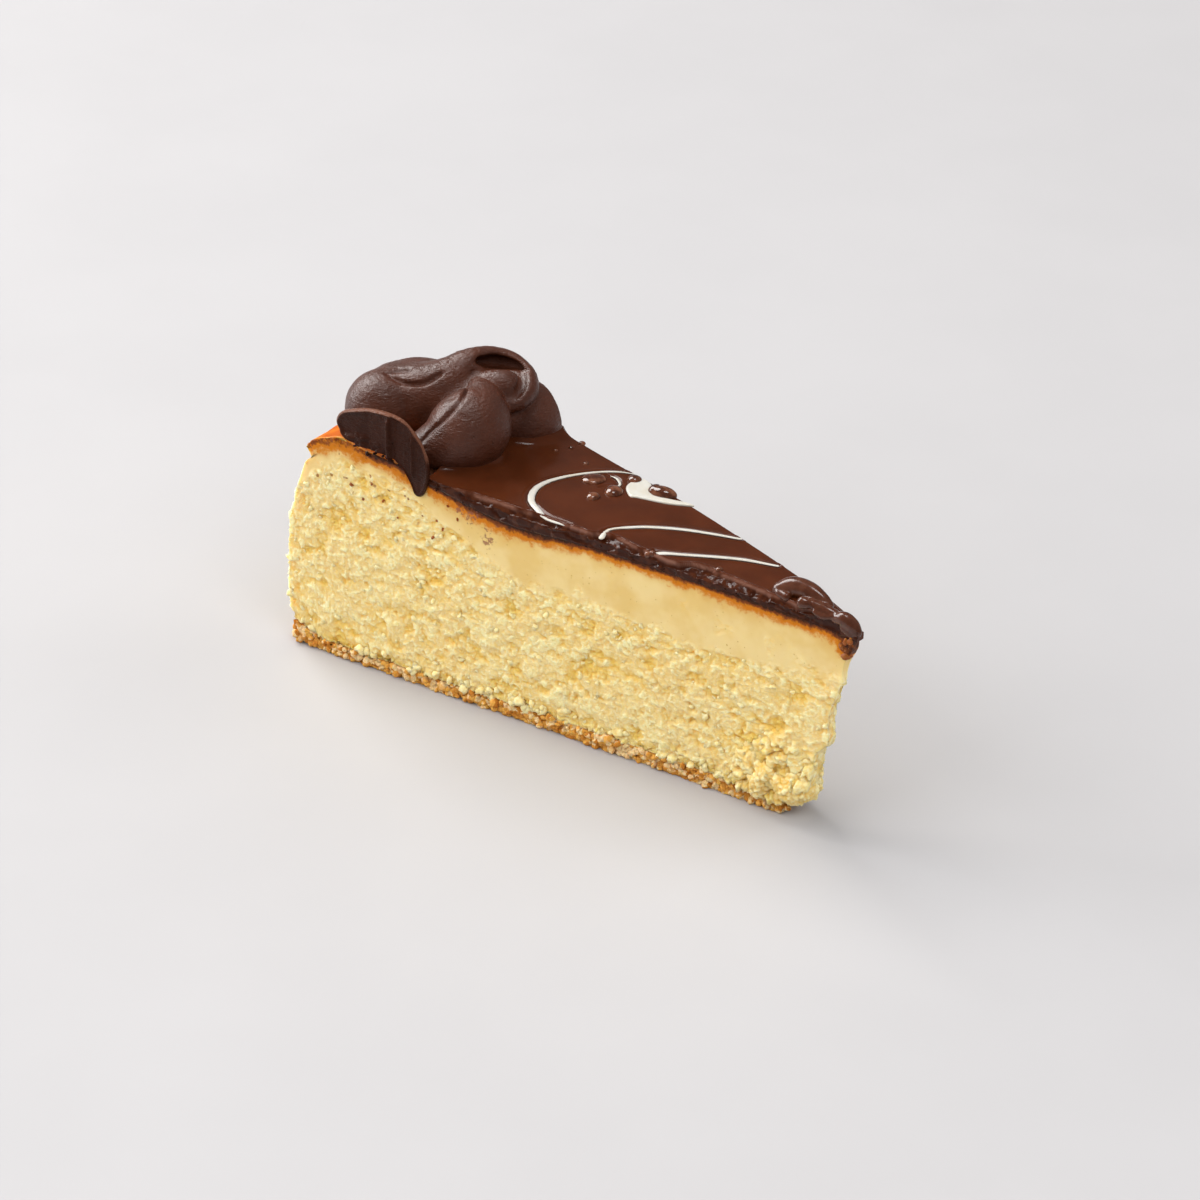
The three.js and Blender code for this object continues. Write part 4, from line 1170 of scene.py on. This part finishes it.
def glaze_piece(material):
    def place(along, across, up):
        distance = GLAZE_BACK + (GLAZE_FRONT - GLAZE_BACK) * along
        bottom = height_at(TOP_PROFILE, distance) - GLAZE_SUNK
        spread = across - EDGE_CROWDING * np.sin(2 * math.pi * across)
        return in_slice(distance, spread, bottom + (height_at(GLAZE_PROFILE, distance) - bottom) * up)

    points, quads, shares = block(GLAZE_CELLS, place)
    _, across, up = shares.T
    distance = distance_of(points)
    near, far = depth_in(points, -1), depth_in(points, 1)
    lengthwise = points * [1, 0, 0]
    broken = smooth_step(88, 83, distance) * smooth_step(1, 14, distance)
    ledge = value_at(LEDGE, distance) * (1 + 0.3 * layered_noise(lengthwise, 3, 2, 300))
    ledge = (0.75 * ledge + 0.2 + 0.2 * layered_noise(lengthwise, 1.6, 3, 305)) * broken
    chipped = smooth_step(0.1, -0.2, near - ledge) * broken
    shift = 0.5 * layered_noise(points, 3, 2, 312)[:, None]
    chunk, gap = cell_plates(points * [0.6, 0.8, 0] + shift, 2.5, 310)
    slope = smooth_step(1, 0, near / np.maximum(ledge, 0.2))
    uneven = 0.12 * layered_noise(points, 2.2, 2, 314)
    fallen = chipped * (0.6 + 0.4 * (1 - chunk) + 0.16 * gap + 0.5 * slope + uneven)
    bead = 0.16 * np.exp(-((near - ledge - 0.3) / 0.25) ** 2) * broken
    # Painted highlight line along the rim of the broken edge, carried by the ridge value.
    ridge = np.exp(-((near - ledge + 0.02) / 0.08) ** 2) * broken
    ridge = ridge * smooth_step(-0.5, 0.3, layered_noise(lengthwise, 2.2, 3, 315))
    far_round = 0.7 * smooth_step(1.0, 0.0, far) ** 2
    lines = distance_to_lines(points)
    banks = 0.1 * np.exp(-((lines - 0.4) / 0.3) ** 2) - 0.2 * smooth_step(0.35, -0.3, lines)
    meniscus = 1.5 * np.exp(-np.maximum(distance_to_swirl(points), 0) / 0.9)
    swell = 0.1 * layered_noise(points * [1, 1, 0], 12, 2, 320)
    points[:, 2] += up * (bead - fallen - far_round + banks * (1 - chipped) + meniscus + swell)
    points[:, 2] = np.maximum(points[:, 2], height_at(TOP_PROFILE, distance) - GLAZE_SUNK)
    side = np.where(across == 0, -1.0, np.where(across == 1, 1.0, 0.0))
    shift = 0.4 * layered_noise(points, 3, 2, 332)[:, None]
    face_chunk, face_gap = cell_plates(points * [0.5, 0, 0.8] + shift, 2.4, 330)
    uneven = 0.1 * layered_noise(points, 1.5, 2, 334)
    jut = np.where(across == 0, 0.6 * face_chunk - 0.2 * face_gap - 0.1 + uneven, 0.05)
    points[:, 1] += side * jut * smooth_step(-0.1, 0.3, up)
    cut = np.clip(np.maximum((across == 0) | (across == 1), chipped), 0, 1)
    return make_piece("glaze_pool", points, quads, material, {"cut": cut, "ridge": 0.85 * ridge * (up == 1)})


def level_at(x, y):
    """Height of the glaze's surface, lower on the broken edge, at a place from the point."""
    near = float(depth_in(np.array([[TIP_X + x, y, 0]]), -1)[0])
    return float(height_at(GLAZE_PROFILE, np.array([-x]))[0]) - 0.5 * float(smooth_step(1.9, 0.9, near))


def rope_box(paths, margin):
    """Low and high corners of a box round the ropes."""
    return box_round(np.vstack(paths)[:, :3], margin)


def outline_distance(places, outline):
    """Distance from places to a closed outline in plan, negative inside."""
    result = np.full(len(places), FIELD_FAR)
    close = ((places > outline.min(axis=0) - 1) & (places < outline.max(axis=0) + 1)).all(axis=1)
    near = places[close]
    nearest, inside = np.full(len(near), FIELD_FAR), np.zeros(len(near), bool)
    for start, end in zip(outline, np.roll(outline, -1, axis=0)):
        step, offset = end - start, near - start
        share = np.clip(offset @ step / max(step @ step, 1e-9), 0, 1)
        nearest = np.minimum(nearest, np.linalg.norm(offset - share[:, None] * step, axis=1))
        spans = (start[1] > near[:, 1]) != (end[1] > near[:, 1])
        crossing = start[0] + (near[:, 1] - start[1]) * step[0] / (step[1] if step[1] else 1e-9)
        inside ^= spans & (near[:, 0] < crossing)
    result[close] = np.where(inside, -nearest, nearest)
    return result


def drizzle_piece(material):
    paths = []
    for line in DRIZZLE_LINES:
        knots = spline(line, np.linspace(0, 1, DRIZZLE_KNOTS))
        paths.append([(TIP_X + x, y, level_at(x, y), width * DRIZZLE_WIDTH) for x, y, width in knots])
    outline = spline(PALE_PATCH, np.linspace(0, 1, PATCH_POINTS, endpoint=False), closed=True)
    patch_level = level_at(*outline.mean(axis=0))

    def shape(grid):
        lines = mass_of(grid, paths, 0.35, DRIZZLE_FLATNESS)
        plan = outline_distance(grid[:, :2] - [TIP_X, 0], outline)
        rise = (grid[:, 2] - patch_level) / PATCH_HALF_HEIGHT
        beyond = np.maximum(plan + PATCH_ROUNDING, 0) / PATCH_ROUNDING
        return soft_union(lines, (np.sqrt(beyond ** 2 + rise ** 2) - 1) * PATCH_HALF_HEIGHT, 0.3)

    points, quads = moulded(*rope_box(paths, DRIZZLE_MARGIN), DRIZZLE_STEP, shape)
    return make_piece("drizzle", points, quads, material)


def drop_piece(material):
    drops = [(x, y, level_at(x, y), *sizes) for x, y, *sizes in DARK_DROPS + AMBER_DROPS]

    def shape(grid):
        whole = np.full(len(grid), FIELD_FAR)
        for x, y, z, half_length, half_width, half_height, turn in drops:
            offset = grid - [TIP_X + x, y, z]
            cos_turn, sin_turn = math.cos(math.radians(turn)), math.sin(math.radians(turn))
            along = offset[:, 0] * cos_turn + offset[:, 1] * sin_turn
            across = offset[:, 1] * cos_turn - offset[:, 0] * sin_turn
            scaled = (along / half_length) ** 2 + (across / half_width) ** 2
            scaled = np.sqrt(scaled + (offset[:, 2] / half_height) ** 2)
            whole = soft_union(whole, (scaled - 1) * half_height, 0.15)
        return whole

    places = np.array([(TIP_X + x, y, z) for x, y, z, *_ in drops])
    points, quads = moulded(*box_round(places, DROP_MARGIN), DRIZZLE_STEP, shape)
    return make_piece("glaze_drops", points, quads, material)


def tip_lumps_piece(material):
    """Thick folds and lumps of glaze pushed together at the point."""
    paths = [[(TIP_X + x, y, z, radius) for x, y, z, radius in knots] for knots in TIP_LUMPS]
    low, high = rope_box(paths, TIP_LUMP_MARGIN)
    points, quads = moulded(low, high, TIP_LUMP_STEP, lambda grid: mass_of(grid, paths, 0.25), blurs=2)
    return make_piece("glaze_tip_lumps", points, quads, material)


def chocolate_crumbs(material):
    """Small crumbs of chocolate along the cut edge of the glaze and under the sliver."""
    draw = np.random.default_rng(31)
    places, radii = [], []
    for start, end, low, high, count in CHOCOLATE_CRUMBS:
        distance = draw.uniform(start, end, count)
        height = height_at(TOP_PROFILE, distance) + draw.uniform(low, high, count)
        spots = in_slice(distance, np.zeros(count), height)
        spots[:, 1] += draw.uniform(-0.15, 0.2, count)
        places.append(spots)
        radii.append(draw.uniform(0.12, 0.45, count) ** 1.1)
    return scatter("chocolate_crumbs", places, radii, material, 24, 0.8)


def scorched_crumbs(material):
    """Browned crumbs under the glaze at the point and specks of them on the near cut."""
    draw = np.random.default_rng(37)
    distance = draw.uniform(-0.3, 3.0, TIP_CRUMBS)
    height = height_at(TOP_PROFILE, distance) + draw.uniform(-4.2, 0.2, TIP_CRUMBS)
    distance = np.maximum(distance, value_at(SCORCHED_FRONT, height))
    spots = in_slice(distance, np.zeros(TIP_CRUMBS), height)
    spots[:, 1] += draw.uniform(0.2, 0.9, TIP_CRUMBS)
    radii = draw.uniform(0.45, 0.9, TIP_CRUMBS)
    speck_distance, speck_height = np.array(SPECKS).T
    specks = in_slice(speck_distance, np.zeros(len(SPECKS)), speck_height) + [0, 0.1, 0]
    speck_radii = draw.uniform(0.2, 0.45, len(SPECKS))
    return scatter("scorched_crumbs", [spots, specks], [radii, speck_radii], material, 25, 0.45, detail=3)


def swirl_piece(material):
    points, quads = moulded(SWIRL_LOW, SWIRL_HIGH, SWIRL_STEP, swirl_shape)
    points = to_part(points)
    normals = normals_of(points, quads)
    wrinkles = layered_noise(points * [0.5, 0.5, 1.4], 0.9, 3, 400)
    dents = layered_noise(points, 3.5, 3, 410)
    points = points + normals * (0.06 * wrinkles + 0.12 * dents)[:, None]
    beyond = np.minimum(depth_in(points, 1) - height_at(FAR_CUT_STRAY, distance_of(points)), 0)
    points[:, 0] -= beyond * math.sin(HALF_ANGLE)
    points[:, 1] += beyond * math.cos(HALF_ANGLE)
    distance = distance_of(points)
    on_glaze = np.where(distance < GLAZE_BACK, height_at(GLAZE_PROFILE, distance), 0)
    ground = np.maximum(height_at(TOP_PROFILE, distance), on_glaze) - SWIRL_SUNK
    points[:, 2] = np.maximum(points[:, 2], ground)
    return make_piece("swirl_coil", points, quads, material)


def sliver_piece(material):
    """Thin cut cap, drawn as rings from its middle out on a front and a back face."""
    count, rings = SLIVER_POINTS, SLIVER_RINGS
    outline = spline(SLIVER_OUTLINE, np.linspace(0, 1, count, endpoint=False), closed=True)
    share = np.linspace(0, 1, rings + 1)[1:]
    centre = np.array(SLIVER_CENTRE)
    plan = centre + share[:, None, None] * (outline[None] - centre)
    plan = np.vstack([centre[None], plan.reshape(-1, 2)])
    spread = np.concatenate([[0], np.repeat(share, count)])
    flat = np.column_stack([plan, np.zeros(len(plan))])
    right_part = smooth_step(100.5, 99.9, plan[:, 0])
    scrape = 0.22 * layered_noise(flat * [1, 0.07, 1], 1.3, 4, 500) * (0.35 + 0.65 * right_part)
    scrape += 0.2 * layered_noise(flat, 3.5, 4, 510)
    ridge, flap = (np.exp(-((plan[:, 0] - place) / half_width) ** 2)
                   for place, half_width in (SLIVER_RIDGE, SLIVER_FLAP))
    ridge = 0.8 * ridge * smooth_step(58.2, 57, plan[:, 1])
    flap = 0.7 * flap * smooth_step(46, 48, plan[:, 1]) * smooth_step(56, 54, plan[:, 1])
    flakes = smooth_step(53.0, 51.6, plan[:, 1] + layered_noise(flat, 1.5, 2, 505))
    flakes = flakes * smooth_step(101.5, 103, plan[:, 0])
    flakes = flakes * (0.35 + 0.5 * layered_noise(flat, 1.2, 3, 506))
    lip = 0.22 * np.exp(-((spread - 0.95) / 0.03) ** 2)
    edge = 0.35 * smooth_step(0.97, 1.0, spread)
    front = SLIVER_FACE - 0.25 - 0.5 * right_part + scrape + ridge + flap + flakes + lip - edge
    # Painted highlight along the sliver's rim, passed on as the edge value.
    edge_light = smooth_step(0.955, 0.985, spread) * smooth_step(50, 52, plan[:, 1])
    belly = np.clip(1 - ((plan[:, 0] - 102.5) / 9) ** 2 - ((plan[:, 1] - 52.6) / 5.4) ** 2, 0, 1)
    above = smooth_step(0.2, 1.2, plan[:, 1] - height_at(TOP_PROFILE, plan[:, 0]))
    back = SLIVER_BACK + 0.12 * edge - 1.6 * np.sqrt(belly) * above
    outwards = np.array([math.sin(HALF_ANGLE), -math.cos(HALF_ANGLE), 0])
    ground = in_slice(plan[:, 0], np.zeros(len(plan)), plan[:, 1])
    front_points = ground + outwards * front[:, None]
    back_points = ground + outwards * back[:, None]
    index = 1 + np.arange(rings * count).reshape(rings, count)
    following = np.roll(index, -1, axis=1)
    quads = np.stack([index[:-1], following[:-1], following[1:], index[1:]], axis=-1).reshape(-1, 4)
    hub = np.stack([np.zeros(count, int), following[0], index[0]], axis=1)
    offset = len(plan)
    rim = np.stack([index[-1], following[-1], following[-1] + offset, index[-1] + offset], axis=1)
    all_quads = np.vstack([quads, (quads + offset)[:, ::-1], rim])
    triangles = np.vstack([hub[:, ::-1], (hub + offset)])
    mesh = bmesh.new()
    corners = [mesh.verts.new(point) for point in np.vstack([front_points, back_points]) * MM]
    for face in [*all_quads, *triangles]:
        mesh.faces.new([corners[number] for number in face])
    bmesh.ops.recalc_face_normals(mesh, faces=mesh.faces)
    data = bpy.data.meshes.new("sliver_cap")
    mesh.to_mesh(data)
    mesh.free()
    return finished("sliver_cap", data, material, {"edge": np.tile(edge_light, 2)})


def dress():
    curd = custard_material("curd", 0.6, (0.5, 0.48, 0.42))
    crumb = crumb_material()
    cut_chocolate = chocolate_material("cut_chocolate", 0.3, 0.12)
    drops = drop_material("wet_drops", "amber", "glaze", 0.1, 0.3)
    folds = drop_material("glaze_folds", "glaze_lump", "glaze_edge", 0.2, 0.1)
    body = custard_piece(custard_material("custard", 0.8, (1.0, 0.96, 0.8)))
    base = base_piece(crumb)
    pool = glaze_piece(glaze_material())
    coil = swirl_piece(chocolate_material("chocolate", 0.38, 0.5))
    cap = sliver_piece(cut_chocolate)
    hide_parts("custard")
    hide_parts("crumb_base")
    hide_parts("glaze")
    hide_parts("swirl")
    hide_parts("swirl_sliver")
    slots = {
        "custard": [body, curd_piece(curd), lump_piece(curd), scorched_crumbs(scorched_material())],
        "crumb": [base, crumb_pieces(crumb)],
        "glaze": [pool, drizzle_piece(drizzle_material()), drop_piece(drops), tip_lumps_piece(folds)],
        "chocolate": [coil, cap, chocolate_crumbs(cut_chocolate)],
    }
    for slot, pieces in slots.items():
        for piece in pieces:
            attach(piece, "root")


def add_camera():
    data = bpy.data.cameras.new("camera")
    data.lens = CAMERA_LENS
    data.sensor_width = SENSOR_WIDTH
    camera = linked("camera", data)
    back, right = Vector(CAMERA_BACK).normalized(), Vector(CAMERA_RIGHT).normalized()
    up = back.cross(right)
    turn = Matrix((right, up, back)).transposed().to_4x4()
    camera.matrix_world = Matrix.Translation(Vector(CAMERA_PLACE) * MM) @ turn
    bpy.context.scene.camera = camera


def add_floor():
    shader = Shader("floor", 0.7)
    shader.colour(shader.mix(shader.between(shader.noise(60, 3), 0.3, 0.7), "floor_dark", "floor_pale"))
    bpy.ops.mesh.primitive_plane_add(size=FLOOR_SIZE, location=(0, 0, 0))
    floor = bpy.context.object
    floor.name = "floor"
    floor.data.materials.append(shader.material)


def add_lamp(name, place, target, size, energy, colour, glossy):
    data = bpy.data.lights.new(name, "AREA")
    data.shape = "DISK"
    data.size = size
    data.energy = energy
    data.color = colour
    lamp = linked(name, data)
    direction = Vector(target) - Vector(place)
    lamp.matrix_world = Matrix.Translation(place) @ direction.to_track_quat("-Z", "Y").to_matrix().to_4x4()
    lamp.visible_glossy = glossy


def add_lights():
    world = bpy.data.worlds.new("studio")
    world.use_nodes = True
    background = world.node_tree.nodes["Background"]
    background.inputs["Color"].default_value = WORLD_COLOUR
    background.inputs["Strength"].default_value = WORLD_STRENGTH
    bpy.context.scene.world = world
    for lamp in LAMPS:
        add_lamp(*lamp)
    bpy.context.scene.view_settings.view_transform = "Standard"


add_camera()
add_floor()
add_lights()
dress()
